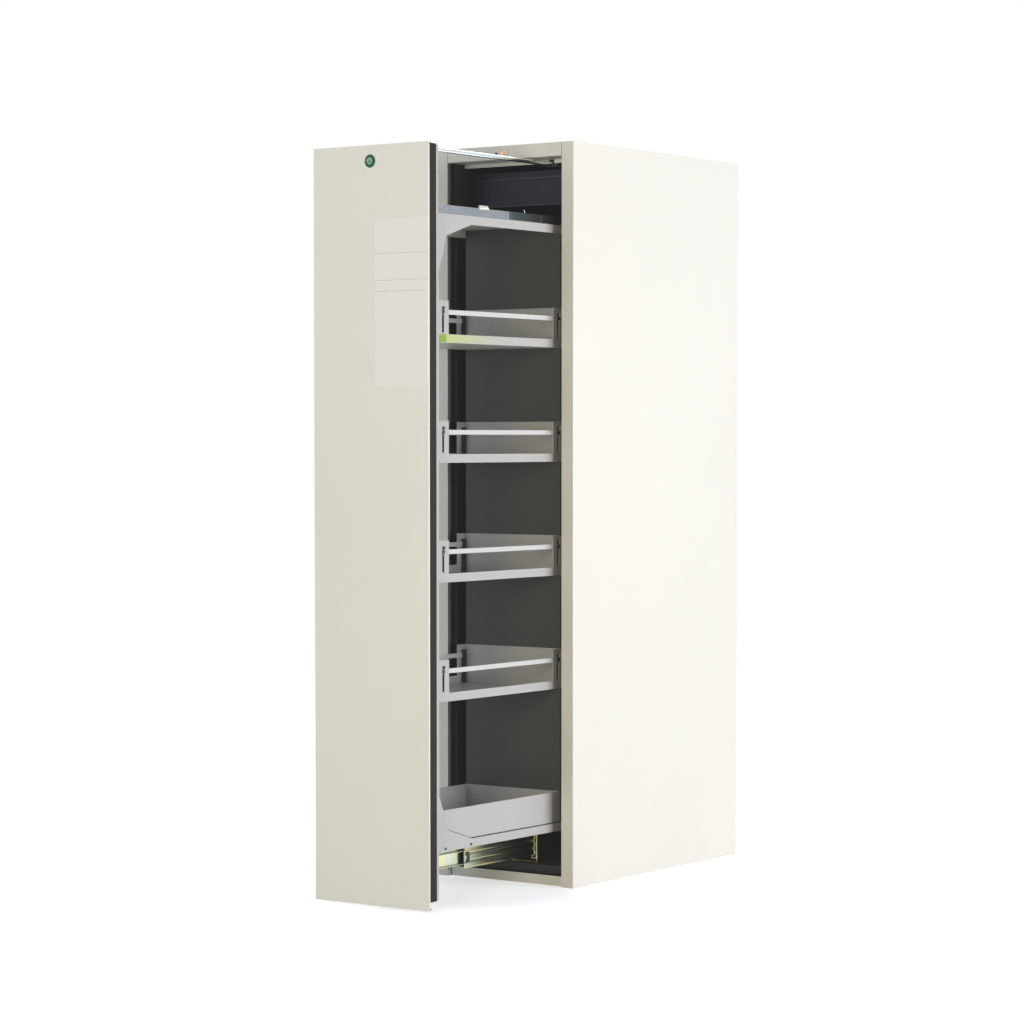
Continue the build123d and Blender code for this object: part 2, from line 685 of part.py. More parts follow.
def bottom_tray():
    """Sump tray on the floor beam."""
    half = FRAME_HALF - PLATE - TRAY_SIDE_GAP
    tray = block(across(half), (drawn(COLUMN_REAR), drawn(PANEL_FRONT)), (BEAM_TOP, BEAM_TOP + TRAY_HEIGHT))
    room = (drawn(COLUMN_REAR + PLATE), drawn(PANEL_FRONT - PLATE))
    hollow = (BEAM_TOP + PLATE, BEAM_TOP + TRAY_HEIGHT + OVERRUN)
    return tray - block(across(half - PLATE), room, hollow)


def end_plate(side, level, lap, slot, head):
    """Slotted plate at one corner of a shelf; head is the far end of the slot's notch."""
    x = on_side(side, SHELF_HALF - PLATE, SHELF_HALF)
    cut = on_side(side, SHELF_HALF - PLATE - OVERRUN, SHELF_HALF + OVERRUN)
    plate = block(x, (drawn(lap[0]), drawn(lap[1])), (level, level + END_WALL_HEIGHT))
    slot_top = level + END_WALL_HEIGHT - SLOT_HEAD
    height = (level + SHELF_LIP + SLOT_BASE, slot_top)
    plate -= block(cut, (drawn(slot - SLOT_WIDTH / 2), drawn(slot + SLOT_WIDTH / 2)), height)
    return plate - block(cut, (drawn(slot), drawn(head)), (slot_top - SLOT_WIDTH, slot_top))


def slot_depths():
    """Return the depths of a shelf's front and rear slots."""
    return (COLUMN_REAR + SLOT_INSET, PANEL_FRONT - SLOT_INSET)


def shelf(level):
    """Tray shelf with raised ends and four slotted plates for its guard rails."""
    depth = (drawn(COLUMN_REAR), drawn(PANEL_FRONT))
    tray = block(across(SHELF_HALF), depth, (level, level + PLATE))
    for end, inward in ((COLUMN_REAR, PLATE), (PANEL_FRONT, -PLATE)):
        wall = (drawn(end), drawn(end + inward))
        tray += block(across(SHELF_HALF), wall, (level, level + END_WALL_HEIGHT))
    front_slot, rear_slot = slot_depths()
    front_lap = (COLUMN_REAR - END_PLATE_LAP, COLUMN_REAR - END_PLATE_LAP + END_PLATE_LENGTH)
    rear_lap = (PANEL_FRONT + END_PLATE_LAP - END_PLATE_LENGTH, PANEL_FRONT + END_PLATE_LAP)
    for side in SIDES.values():
        tray += block(on_side(side, SHELF_HALF - PLATE, SHELF_HALF), depth, (level, level + SHELF_LIP))
        tray += end_plate(side, level, front_lap, front_slot, front_slot + NOTCH_LENGTH)
        tray += end_plate(side, level, rear_lap, rear_slot, rear_slot + NOTCH_LENGTH)
    return tray


def guard_rail(side, level):
    """Guard rail inside the shelf's end plates, on two headed pins that run in their slots."""
    outer = SHELF_HALF - PLATE - GUARD_GAP
    inner = outer - GUARD_THICK
    centre = level + GUARD_LEVEL
    front, rear = slot_depths()
    height = (centre - GUARD_HEIGHT / 2, centre + GUARD_HEIGHT / 2)
    rail = block(on_side(side, inner, outer), (drawn(front - SLOT_WIDTH), drawn(rear + SLOT_WIDTH)), height)
    head_face = SHELF_HALF + PIN_HEAD_GAP
    for depth in (front, rear):
        pin = on_side(side, inner, head_face)
        head = on_side(side, head_face, head_face + PIN_HEAD_THICK)
        rail += rod_along_x(SLOT_WIDTH / 2 - PIN_CLEARANCE, pin, drawn(depth), centre)
        rail += rod_along_x(PIN_HEAD_RADIUS, head, drawn(depth), centre)
    return rail


def channel(x, y, z, web, sheet):
    """Channel along y with its web at one end of x and flanges at the top and bottom."""
    solid = block(x, y, z)
    open_end = x[1] + (x[1] - x[0])
    room = (z[0] + sheet, z[1] - sheet)
    return solid - block((web, open_end), (min(y) - OVERRUN, max(y) + OVERRUN), room)


def slide_band(height):
    """Return the lowest and highest level of a slide member."""
    return (SLIDE_LEVEL - height / 2, SLIDE_LEVEL + height / 2)


def slide_bracket(side):
    """Angle bracket on the floor that carries one slide."""
    length = (fixed(BRACKET_SETBACK), fixed(BRACKET_REAR))
    wall = block(on_side(side, BRACKET_INNER, BRACKET_HALF_WIDTH), length, (FLOOR_LEVEL, BRACKET_TOP))
    return wall + block(on_side(side, 0, BRACKET_HALF_WIDTH), length, (FLOOR_LEVEL, BRACKET_FLOOR))


def slide_outers():
    """Fixed outer members of the two slides, on the bracket's inner faces."""
    length = (fixed(BRACKET_SETBACK), fixed(BRACKET_REAR))
    members = []
    for side in SIDES.values():
        x = on_side(side, BRACKET_INNER, BRACKET_INNER - OUTER_REACH)
        web = side * (BRACKET_INNER - SLIDE_SHEET)
        members.append(channel(x, length, slide_band(OUTER_HEIGHT), web, SLIDE_SHEET))
    return Compound(children=members)


def slide_middle(side):
    """Middle member of one slide, with two pressed beads along its web."""
    length = (part_drawn(SLIDE_FRONT, MIDDLE_SHARE), part_drawn(SLIDE_FRONT + MIDDLE_LENGTH, MIDDLE_SHARE))
    x = on_side(side, MIDDLE_OUTER_FACE, MIDDLE_OUTER_FACE - MIDDLE_REACH)
    web = side * (MIDDLE_OUTER_FACE - SLIDE_SHEET)
    member = channel(x, length, slide_band(MIDDLE_HEIGHT), web, SLIDE_SHEET)
    bead_x = on_side(side, MIDDLE_OUTER_FACE, MIDDLE_OUTER_FACE + BEAD_PROUD)
    low, high = slide_band(MIDDLE_HEIGHT)
    member += block(bead_x, length, (low, low + BEAD_HEIGHT))
    return member + block(bead_x, length, (high - BEAD_HEIGHT, high))


def slide_inners():
    """Inner members of the two slides, on the carrier's outer faces."""
    length = (drawn(SLIDE_FRONT), drawn(CARRIER_REAR))
    members = []
    for side in SIDES.values():
        x = on_side(side, CARRIER_HALF_WIDTH, CARRIER_HALF_WIDTH + INNER_REACH)
        web = side * (CARRIER_HALF_WIDTH + SLIDE_SHEET)
        members.append(channel(x, length, slide_band(INNER_HEIGHT), web, SLIDE_SHEET))
    return Compound(children=members)


def slide_end_stops():
    """Plastic end stops at the front of the middle members."""
    front = SLIDE_FRONT + STOP_LENGTH / 2
    length = (part_drawn(front, MIDDLE_SHARE), part_drawn(front + STOP_LENGTH, MIDDLE_SHARE))
    stops = []
    for side in SIDES.values():
        x = on_side(side, MIDDLE_OUTER_FACE, MIDDLE_OUTER_FACE + STOP_THICK)
        stops.append(block(x, length, slide_band(STOP_HEIGHT)))
    return Compound(children=stops)


def ball_cages(outer_height, x, start, share):
    """Ball cages of both slides in one stage: strips that hold a row of balls above and below."""
    radius = BALL_ROOM / 2 - BALL_GAP
    offset = outer_height / 2 - SLIDE_SHEET - BALL_ROOM / 2
    pitch = CAGE_LENGTH / BALL_COUNT
    length = (part_drawn(start, share), part_drawn(start + CAGE_LENGTH, share))
    cages = []
    for side in SIDES.values():
        for level in (SLIDE_LEVEL - offset, SLIDE_LEVEL + offset):
            strip_x = (side * x - CAGE_WIDTH / 2, side * x + CAGE_WIDTH / 2)
            cage = block(strip_x, length, (level - CAGE_THICK / 2, level + CAGE_THICK / 2))
            for index in range(BALL_COUNT):
                y = min(length) + pitch * (index + 0.5)
                cage += Pos(side * x, y, level) * Sphere(radius)
            cages.append(cage)
    return Compound(children=cages)


def outer_ball_cages():
    """Balls between the outer and middle members."""
    x = MIDDLE_OUTER_FACE - MIDDLE_REACH / 2
    rear = SLIDE_FRONT + MIDDLE_LENGTH - PULL * MIDDLE_SHARE
    start = (BRACKET_SETBACK + rear - CAGE_LENGTH) / 2 + PULL * OUTER_CAGE_SHARE
    return ball_cages(OUTER_HEIGHT, x, start, OUTER_CAGE_SHARE)


def inner_ball_cages():
    """Balls between the middle and inner members."""
    x = CARRIER_HALF_WIDTH + INNER_REACH / 2 + SLIDE_SHEET / 2
    front = SLIDE_FRONT - PULL * MIDDLE_SHARE
    rear = CARRIER_REAR - PULL
    start = (front + rear - CAGE_LENGTH) / 2 + PULL * INNER_CAGE_SHARE
    return ball_cages(MIDDLE_HEIGHT, x, start, INNER_CAGE_SHARE)


def slide_carrier():
    """Inverted channel under the drawer that hangs between the slides."""
    length = (drawn(SLIDE_FRONT), drawn(CARRIER_REAR))
    height = (slide_band(INNER_HEIGHT)[0], BEAM_TOP - PLATE)
    carrier = block(across(CARRIER_HALF_WIDTH), length, height)
    room = (drawn(SLIDE_FRONT - OVERRUN), drawn(CARRIER_REAR + OVERRUN))
    half = CARRIER_HALF_WIDTH - SLIDE_SHEET
    return carrier - block(across(half), room, (height[0] - OVERRUN, height[1] - SLIDE_SHEET))


def slide_buffer():
    """Rubber buffer on the bracket that the carrier meets as the drawer shuts."""
    front = CARRIER_REAR + BUFFER_GAP
    height = (BRACKET_FLOOR, BRACKET_FLOOR + BUFFER_HEIGHT)
    return block(across(CARRIER_HALF_WIDTH), (fixed(front), fixed(front + BUFFER_LENGTH)), height)


def nodes():
    """Return every piece of the cabinet by its node's name."""
    pieces = {
        "top_panel": top_panel(),
        "base_pan": base_pan(),
        "back_panel": back_panel(),
        "top_fire_board": top_fire_board(),
        "floor_fire_board": floor_fire_board(),
        "back_fire_board": back_fire_board(),
        "frame_seals": frame_seals(),
        "levelling_feet": levelling_feet(),
        "exhaust_spigot": spigot(SIDES["left"]),
        "supply_spigot": spigot(SIDES["right"]),
        "exhaust_damper": damper(SIDES["left"]),
        "supply_damper": damper(SIDES["right"]),
        "exhaust_duct": exhaust_duct(),
        "closer_housing": closer_housing(),
        "top_catch": top_catch(),
        "bar_guide": bar_guide(),
        "guide_bar": guide_bar(),
        "door_skin": door_skin(),
        "door_fire_board": door_fire_board(),
        "door_seal": door_seal(),
        "door_inner_pan": door_inner_pan(),
        "door_label": door_label(),
        "lock_rosette": lock_rosette(),
        "lock_case": lock_case(),
        "lock_cylinder": lock_cylinder(),
        "lock_bolt": lock_bolt(),
        "bottom_beam": bottom_beam(),
        "top_beam": top_beam(),
        "front_column": front_column(),
        "rear_panel": rear_panel(),
        "bottom_tray": bottom_tray(),
        "slide_outers": slide_outers(),
        "slide_inners": slide_inners(),
        "slide_end_stops": slide_end_stops(),
        "outer_ball_cages": outer_ball_cages(),
        "inner_ball_cages": inner_ball_cages(),
        "slide_carrier": slide_carrier(),
        "slide_buffer": slide_buffer(),
    }
    for name, side in SIDES.items():
        pieces[f"{name}_side_panel"] = side_panel(side)
        pieces[f"{name}_fire_board"] = side_fire_board(side)
        pieces[f"top_rail_{name}"] = top_rail(side)
        pieces[f"slide_bracket_{name}"] = slide_bracket(side)
        pieces[f"slide_middle_{name}"] = slide_middle(side)
    for index in range(SHELF_COUNT):
        level = SHELF_LEVEL + SHELF_PITCH * index
        pieces[f"shelf_{index + 1}"] = shelf(level)
        for name, side in SIDES.items():
            pieces[f"guard_rail_{index + 1}_{name}"] = guard_rail(side, level)
    return pieces


os.makedirs("parts", exist_ok=True)
for node, piece in nodes().items():
    export_step(piece, f"parts/{node}.step")
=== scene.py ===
"""Looks of a pull-out safety cabinet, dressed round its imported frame.

Lengths are metres in the frame's own axes: +Z is up and the door faces -Y.
"""

import json
import logging
import math
from dataclasses import dataclass
from enum import Enum
from typing import Sequence

import bmesh
import bpy
from mathutils import Matrix, Vector


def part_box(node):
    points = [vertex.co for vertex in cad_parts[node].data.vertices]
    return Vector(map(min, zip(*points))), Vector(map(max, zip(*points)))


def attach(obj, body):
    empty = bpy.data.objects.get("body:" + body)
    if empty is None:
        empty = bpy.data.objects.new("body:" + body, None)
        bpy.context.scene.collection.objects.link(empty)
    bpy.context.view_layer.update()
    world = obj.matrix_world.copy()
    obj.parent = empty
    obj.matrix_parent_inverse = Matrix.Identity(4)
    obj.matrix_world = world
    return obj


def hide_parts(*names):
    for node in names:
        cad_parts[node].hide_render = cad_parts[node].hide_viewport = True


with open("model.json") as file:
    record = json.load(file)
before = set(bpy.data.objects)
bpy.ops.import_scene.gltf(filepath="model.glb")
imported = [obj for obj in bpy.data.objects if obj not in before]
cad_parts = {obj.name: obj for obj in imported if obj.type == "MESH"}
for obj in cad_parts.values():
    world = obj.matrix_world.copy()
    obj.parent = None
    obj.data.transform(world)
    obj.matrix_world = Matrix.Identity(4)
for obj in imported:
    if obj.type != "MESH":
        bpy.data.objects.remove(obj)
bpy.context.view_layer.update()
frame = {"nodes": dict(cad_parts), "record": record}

log = logging.getLogger("safety_cabinet")
MM = 0.001
Shape = bmesh.types.BMesh
Material = bpy.types.Material
Mesh = bpy.types.Mesh
Node = bpy.types.Node
Socket = bpy.types.NodeSocket
Tree = bpy.types.NodeTree
Triple = tuple[float, float, float]
Colour = Triple
Span = tuple[float, float]
SIDES = (-1, 1)
SIDE_NAMES = ("left", "right")
MERGE_REACH = 0.01 * MM
FLAT_ANGLE = math.radians(0.5)
FOLD_ANGLE = math.radians(40.0)
FOLD_SEGMENTS = 2
BLOCK_SEGMENTS = 3
TURN_STEPS = 20


class Body(Enum):
    """Moving groups that added pieces ride on."""

    CABINET = "cabinet"
    DRAWER = "drawer"
    MIDDLE = "slide_middle"
    RAIL_1_LEFT = "guard_rail_1_left"
    RAIL_1_RIGHT = "guard_rail_1_right"
    RAIL_2_LEFT = "guard_rail_2_left"
    RAIL_2_RIGHT = "guard_rail_2_right"
    RAIL_3_LEFT = "guard_rail_3_left"
    RAIL_3_RIGHT = "guard_rail_3_right"
    RAIL_4_LEFT = "guard_rail_4_left"
    RAIL_4_RIGHT = "guard_rail_4_right"


class Slot(Enum):
    """Material slots of the record."""

    CASING = "casing_paint"
    BOARD = "fire_board"
    SEAL = "seal_strip"
    RUBBER = "rubber"
    DRAWER = "drawer_paint"
    RAIL = "rail_paint"
    REAR = "rear_paint"
    HOUSING = "housing_paint"
    ZINC = "yellow_zinc"
    GALVANISED = "galvanised"
    BALL = "ball_steel"
    BLACK = "black_plastic"
    LABEL = "label_sheet"
    GREEN = "lock_green"
    LOCK = "lock_metal"
    CATCH = "catch_metal"


class Facing(Enum):
    """Directions that a fastener's head can face."""

    RIGHT = (1.0, 0.0, 0.0)
    LEFT = (-1.0, 0.0, 0.0)
    FRONT = (0.0, -1.0, 0.0)
    BACK = (0.0, 1.0, 0.0)
    UP = (0.0, 0.0, 1.0)


def side_facing(side: int) -> Facing:
    """Return the facing of the cabinet's left (-1) or right (+1) side."""
    return Facing.RIGHT if side > 0 else Facing.LEFT


def rgba(colour: Colour) -> tuple[float, float, float, float]:
    """Return a colour with full alpha."""
    return (*colour, 1.0)


def spread(low: float, high: float, count: int) -> list[float]:
    """Return the middles of equal steps between two ends."""
    return [low + (high - low) * (step + 0.5) / count for step in range(count)]


class NodeDesk:
    """Adds and links nodes in one node tree."""

    def __init__(self, tree: Tree) -> None:
        """Keep the tree that nodes go into."""
        self.tree = tree

    @classmethod
    def cleared(cls, owner: Material | bpy.types.World) -> "NodeDesk":
        """Return the desk of a material's or world's tree, emptied."""
        owner.use_nodes = True
        owner.node_tree.nodes.clear()
        return cls(owner.node_tree)

    def feed(self, node: Node, inputs: dict) -> Node:
        """Set a node's inputs.

        Args:
            node: The node.
            inputs: Values or output sockets by the input's name or number.

        Returns:
            The node.
        """
        for name, value in inputs.items():
            if isinstance(value, Socket):
                self.tree.links.new(value, node.inputs[name])
            else:
                node.inputs[name].default_value = value
        return node

    def add(self, kind: str, inputs: dict | None = None, **settings: object) -> Node:
        """Add one node.

        Args:
            kind: Blender's name of the node type.
            inputs: Values or output sockets by the input's name or number.
            settings: The node's own properties.

        Returns:
            The new node.
        """
        node = self.tree.nodes.new(kind)
        for name, value in settings.items():
            setattr(node, name, value)
        return self.feed(node, inputs or {})

    def group(self, tree: Tree, **inputs: object) -> Node:
        """Place a shader group; its inputs go by name, with _ for a space."""
        named = {name.replace("_", " "): value for name, value in inputs.items()}
        return self.feed(self.add("ShaderNodeGroup", node_tree=tree), named)

    def place(self) -> Socket:
        """Return the piece's own coordinates."""
        return self.add("ShaderNodeTexCoord").outputs["Object"]

    def reckon(self, operation: str, *values: object) -> Socket:
        """Return the result of a sum on values or sockets."""
        return self.add("ShaderNodeMath", dict(enumerate(values)), operation=operation).outputs[0]

    def noise(self, place: Socket, scale: object, **inputs: float) -> Socket:
        """Return a noise over a place."""
        return self.add("ShaderNodeTexNoise", {"Vector": place, "Scale": scale, **inputs}).outputs[0]

    def blend(self, share: Socket, first: object, second: object) -> Socket:
        """Return the mix of two colours."""
        return self.add("ShaderNodeMix", {"Factor": share, 6: first, 7: second}, data_type="RGBA").outputs[2]

    def remap(self, value: Socket, span: Span = (0.0, 1.0), low: object = 0.0,
              high: object = 1.0) -> Socket:
        """Stretch a span of a value over another.

        Args:
            value: The value.
            span: Its lowest and highest ends.
            low: What the lowest end becomes.
            high: What the highest end becomes.

        Returns:
            The new value.
        """
        ends = {"From Min": span[0], "From Max": span[1], "To Min": low, "To Max": high}
        return self.add("ShaderNodeMapRange", {"Value": value, **ends}).outputs[0]


class Effects:
    """Shader node groups that several finishes share, each built once."""

    FLOAT = "NodeSocketFloat"
    COLOUR = "NodeSocketColor"
    VECTOR = "NodeSocketVector"
    LAYER = {"Colour": COLOUR, "Roughness": FLOAT, "Height": FLOAT}
    DRIFT_SCALE = 2.3
    DRIFT_SPAN: Span = (0.3, 0.7)
    PEEL_ROUGHNESS = 0.18
    STREAK_ROUGHNESS = 0.3
    DUST_COLOUR: Colour = (0.52, 0.50, 0.46)
    DUST_SCALE = 38.0
    DUST_SLOPE: Span = (0.6, 1.0)
    DUST_PATCH: Span = (0.38, 0.72)
    CLOUD_SPAN: Span = (0.35, 0.65)

    def __init__(self) -> None:
        """Build the groups."""
        self.powder = self._powder_coat()
        self.grain = self._rolled_grain()
        self.dust = self._settled_dust()
        self.drift = self._tint_drift()

    def _start(self, name: str, inputs: dict[str, str], outputs: dict[str, str]) -> tuple:
        """Open a new group.

        Args:
            name: The group's name.
            inputs: Socket types by input name.
            outputs: Socket types by output name.

        Returns:
            The group's desk, its inputs and the piece's own coordinates.
        """
        tree = bpy.data.node_groups.new(name, "ShaderNodeTree")
        for way, sockets in (("INPUT", inputs), ("OUTPUT", outputs)):
            for socket, kind in sockets.items():
                tree.interface.new_socket(socket, in_out=way, socket_type=kind)
        desk = NodeDesk(tree)
        return desk, desk.add("NodeGroupInput").outputs, desk.place()

    def _close(self, desk: NodeDesk, colour: Socket, shade: Socket,
               rough: Socket, height: Socket) -> Tree:
        """Close a group that puts out a layer.

        Args:
            desk: The group's desk.
            colour: The plain colour.
            shade: What the colour is multiplied by.
            rough: The roughness.
            height: The height.

        Returns:
            The group's tree.
        """
        shaded = desk.add("ShaderNodeVectorMath", {0: colour, "Scale": shade}, operation="SCALE")
        desk.add("NodeGroupOutput", {"Colour": shaded.outputs[0], "Roughness": rough, "Height": height})
        return desk.tree

    def _powder_coat(self) -> Tree:
        """Make fine orange peel with a broad, faint drift of shade.

        Returns:
            The group's tree.
        """
        ins = {"Colour": self.COLOUR, "Peel Scale": self.FLOAT, "Mottle": self.FLOAT, "Roughness": self.FLOAT}
        desk, given, place = self._start("powder_coat", ins, self.LAYER)
        peel = desk.noise(place, given["Peel Scale"], Detail=2.0, Roughness=0.45)
        broad = desk.noise(place, self.DRIFT_SCALE, Detail=3.0)
        shade = desk.remap(broad, self.DRIFT_SPAN, desk.reckon("SUBTRACT", 1.0, given["Mottle"]))
        centred = desk.reckon("SUBTRACT", peel, 0.5)
        rough = desk.reckon("MULTIPLY_ADD", centred, self.PEEL_ROUGHNESS, given["Roughness"])
        return self._close(desk, given["Colour"], shade, rough, peel)

    def _rolled_grain(self) -> Tree:
        """Make streaks along one axis, as rolled or drawn metal and extruded rubber have.

        Returns:
            The group's tree.
        """
        ins = {"Colour": self.COLOUR, "Stretch": self.VECTOR, "Contrast": self.FLOAT, "Roughness": self.FLOAT}
        desk, given, place = self._start("rolled_grain", ins, self.LAYER)
        pulled = desk.add("ShaderNodeVectorMath", {0: place, 1: given["Stretch"]}, operation="MULTIPLY")
        streak = desk.noise(pulled.outputs[0], 1.0, Detail=4.0, Roughness=0.6)
        centred = desk.reckon("SUBTRACT", streak, 0.5)
        shade = desk.reckon("MULTIPLY_ADD", centred, given["Contrast"], 1.0)
        rough = desk.reckon("MULTIPLY_ADD", centred, self.STREAK_ROUGHNESS, given["Roughness"])
        return self._close(desk, given["Colour"], shade, rough, streak)

    def _settled_dust(self) -> Tree:
        """Make a pale film on faces that look up.

        Returns:
            The group's tree.
        """
        ins = {"Colour": self.COLOUR, "Amount": self.FLOAT}
        desk, given, place = self._start("settled_dust", ins, {"Colour": self.COLOUR})
        normal = desk.add("ShaderNodeNewGeometry").outputs["Normal"]
        flat = desk.remap(desk.add("ShaderNodeSeparateXYZ", {0: normal}).outputs[2], self.DUST_SLOPE)
        patch = desk.remap(desk.noise(place, self.DUST_SCALE, Detail=5.0), self.DUST_PATCH)
        film = desk.reckon("MULTIPLY", desk.reckon("MULTIPLY", flat, patch), given["Amount"])
        desk.add("NodeGroupOutput", {"Colour": desk.blend(film, given["Colour"], rgba(self.DUST_COLOUR))})
        return desk.tree

    def _tint_drift(self) -> Tree:
        """Make two colours drift into each other in soft clouds.

        Returns:
            The group's tree.
        """
        ins = {"First": self.COLOUR, "Second": self.COLOUR, "Scale": self.FLOAT}
        desk, given, place = self._start("tint_drift", ins, {"Colour": self.COLOUR})
        cloud = desk.noise(place, given["Scale"], Detail=3.0, Distortion=0.6)
        share = desk.remap(cloud, self.CLOUD_SPAN)
        desk.add("NodeGroupOutput", {"Colour": desk.blend(share, given["First"], given["Second"])})
        return desk.tree


class Finish:
    """What every finish is: a shader with a colour, and with a layer's roughness and height."""

    metallic: float = 0.0
    gloss: float = 0.5
    bump: float
    depth: float

    def build(self, name: str, effects: Effects) -> Material:
        """Build the finish.

        Args:
            name: The material's name.
            effects: The shared node groups.

        Returns:
            The material.
        """
        material = bpy.data.materials.new(name)
        desk = NodeDesk.cleared(material)
        colour, layer = self.layers(desk, effects)
        relief = desk.add("ShaderNodeBump", {
            "Strength": self.bump, "Distance": self.depth, "Height": layer.outputs["Height"]})
        shader = desk.add("ShaderNodeBsdfPrincipled", {
            "Base Color": colour, "Metallic": self.metallic, "Roughness": layer.outputs["Roughness"],
            "Specular IOR Level": self.gloss, "Normal": relief.outputs[0]})
        desk.add("ShaderNodeOutputMaterial", {"Surface": shader.outputs[0]})
        return material

    def layers(self, desk: NodeDesk, effects: Effects) -> tuple[Socket, Node]:
        """Add the nodes of one kind of finish.

        Args:
            desk: The material's desk.
            effects: The shared node groups.

        Returns:
            The colour, and the group node of the layer.
        """
        raise NotImplementedError


@dataclass(frozen=True)
class PaintFinish(Finish):
    """Powder-coated sheet metal."""

    colour: Colour
    roughness: float = 0.42
    peel_scale: float = 520.0
    mottle: float = 0.035
    dust: float = 0.10
    gloss: float = 0.5
    bump: float = 0.12
    depth: float = 0.15 * MM

    def layers(self, desk: NodeDesk, effects: Effects) -> tuple[Socket, Node]:
        """Add the paint and its dust."""
        coat = desk.group(effects.powder, Colour=rgba(self.colour), Peel_Scale=self.peel_scale,
                          Mottle=self.mottle, Roughness=self.roughness)
        dust = desk.group(effects.dust, Colour=coat.outputs["Colour"], Amount=self.dust)
        return dust.outputs["Colour"], coat


@dataclass(frozen=True)
class MetalFinish(Finish):
    """Bare or plated metal with rolled streaks and a drift of tint."""

    first: Colour
    second: Colour
    roughness: float = 0.32
    stretch: Triple = (900.0, 12.0, 900.0)
    contrast: float = 0.35
    cloud: float = 14.0
    metallic: float = 1.0
    bump: float = 0.04
    depth: float = 0.10 * MM

    def layers(self, desk: NodeDesk, effects: Effects) -> tuple[Socket, Node]:
        """Add the tints and the streaks."""
        tint = desk.group(effects.drift, First=rgba(self.first), Second=rgba(self.second), Scale=self.cloud)
        grain = desk.group(effects.grain, Colour=tint.outputs["Colour"], Stretch=self.stretch,
                           Contrast=self.contrast, Roughness=self.roughness)
        return grain.outputs["Colour"], grain


@dataclass(frozen=True)
class SoftFinish(Finish):
    """Rubber, plastic or coated board: a matte colour with a fine directional texture."""

    colour: Colour
    roughness: float = 0.65
    stretch: Triple = (420.0, 420.0, 420.0)
    contrast: float = 0.30
    bump: float = 0.20
    depth: float = 0.2 * MM
    dust: float = 0.08
    gloss: float = 0.5

    def layers(self, desk: NodeDesk, effects: Effects) -> tuple[Socket, Node]:
        """Add the texture and its dust."""
        grain = desk.group(effects.grain, Colour=rgba(self.colour), Stretch=self.stretch,
                           Contrast=self.contrast, Roughness=self.roughness)
        dust = desk.group(effects.dust, Colour=grain.outputs["Colour"], Amount=self.dust)
        return dust.outputs["Colour"], grain


@dataclass(frozen=True)
class FadeFinish(Finish):
    """Colour that runs along y: a solid block, a step to a second colour and a fade into the last."""

    start: float
    end: float
    block_share: float
    block: Colour
    second: Colour
    last: Colour
    roughness: float = 0.35
    gloss: float = 0.5
    step_share: float = 0.02
    peel_scale: float = 300.0
    mottle: float = 0.03
    bump: float = 0.08
    depth: float = 0.1 * MM

    def layers(self, desk: NodeDesk, effects: Effects) -> tuple[Socket, Node]:
        """Add the run of colours and the paint's peel."""
        along = desk.add("ShaderNodeSeparateXYZ", {0: desk.place()}).outputs[1]
        ramp = desk.add("ShaderNodeValToRGB", {"Fac": desk.remap(along, (self.start, self.end))})
        stops = ramp.color_ramp.elements
        stops[0].color = rgba(self.block)
        stops[1].color = rgba(self.last)
        stops.new(self.block_share).color = rgba(self.block)
        stops.new(self.block_share + self.step_share).color = rgba(self.second)
        coat = desk.group(effects.powder, Colour=ramp.outputs["Color"], Peel_Scale=self.peel_scale,
                          Mottle=self.mottle, Roughness=self.roughness)
        return coat.outputs["Colour"], coat


CREAM: Colour = (0.800, 0.782, 0.715)
DRAWER_GREY: Colour = (0.468, 0.464, 0.442)
STRIP_GREEN: Colour = (0.24, 0.38, 0.02)
STRIP_PALE: Colour = (0.50, 0.55, 0.22)
# Painted shade and painted dark reflection on the rear of the top rails, from a teal edge into near black.
RAIL_SHADE_EDGE: Colour = (0.062, 0.080, 0.086)
RAIL_SHADE_TEAL: Colour = (0.040, 0.056, 0.055)
RAIL_SHADE_DARK: Colour = (0.012, 0.012, 0.011)
STOP_STEEL = MetalFinish((0.10, 0.10, 0.10), (0.12, 0.12, 0.12), roughness=0.40)
BRACKET_GOLD = MetalFinish((0.72, 0.58, 0.17), (0.66, 0.58, 0.24), roughness=0.30, contrast=0.08)
POLISHED_STEEL = MetalFinish((0.82, 0.91, 0.93), (0.88, 0.95, 0.97), roughness=0.14, contrast=0.04, bump=0.0)
# Painted shade on the upright reveals.
REVEAL_SHADE_OLIVE = SoftFinish((0.150, 0.138, 0.090), roughness=0.6, bump=0.05)
# Painted highlight on the closer housing's front ledge and lower edge.
HOUSING_HIGHLIGHT = PaintFinish((0.085, 0.092, 0.115), roughness=0.35)
RULE_GREY = SoftFinish((0.50, 0.49, 0.47), contrast=0.2, dust=0.0)
# Painted shade along the floor beam's corner plates.
CORNER_SHADE_GREY = SoftFinish((0.15, 0.15, 0.15), contrast=0.1)
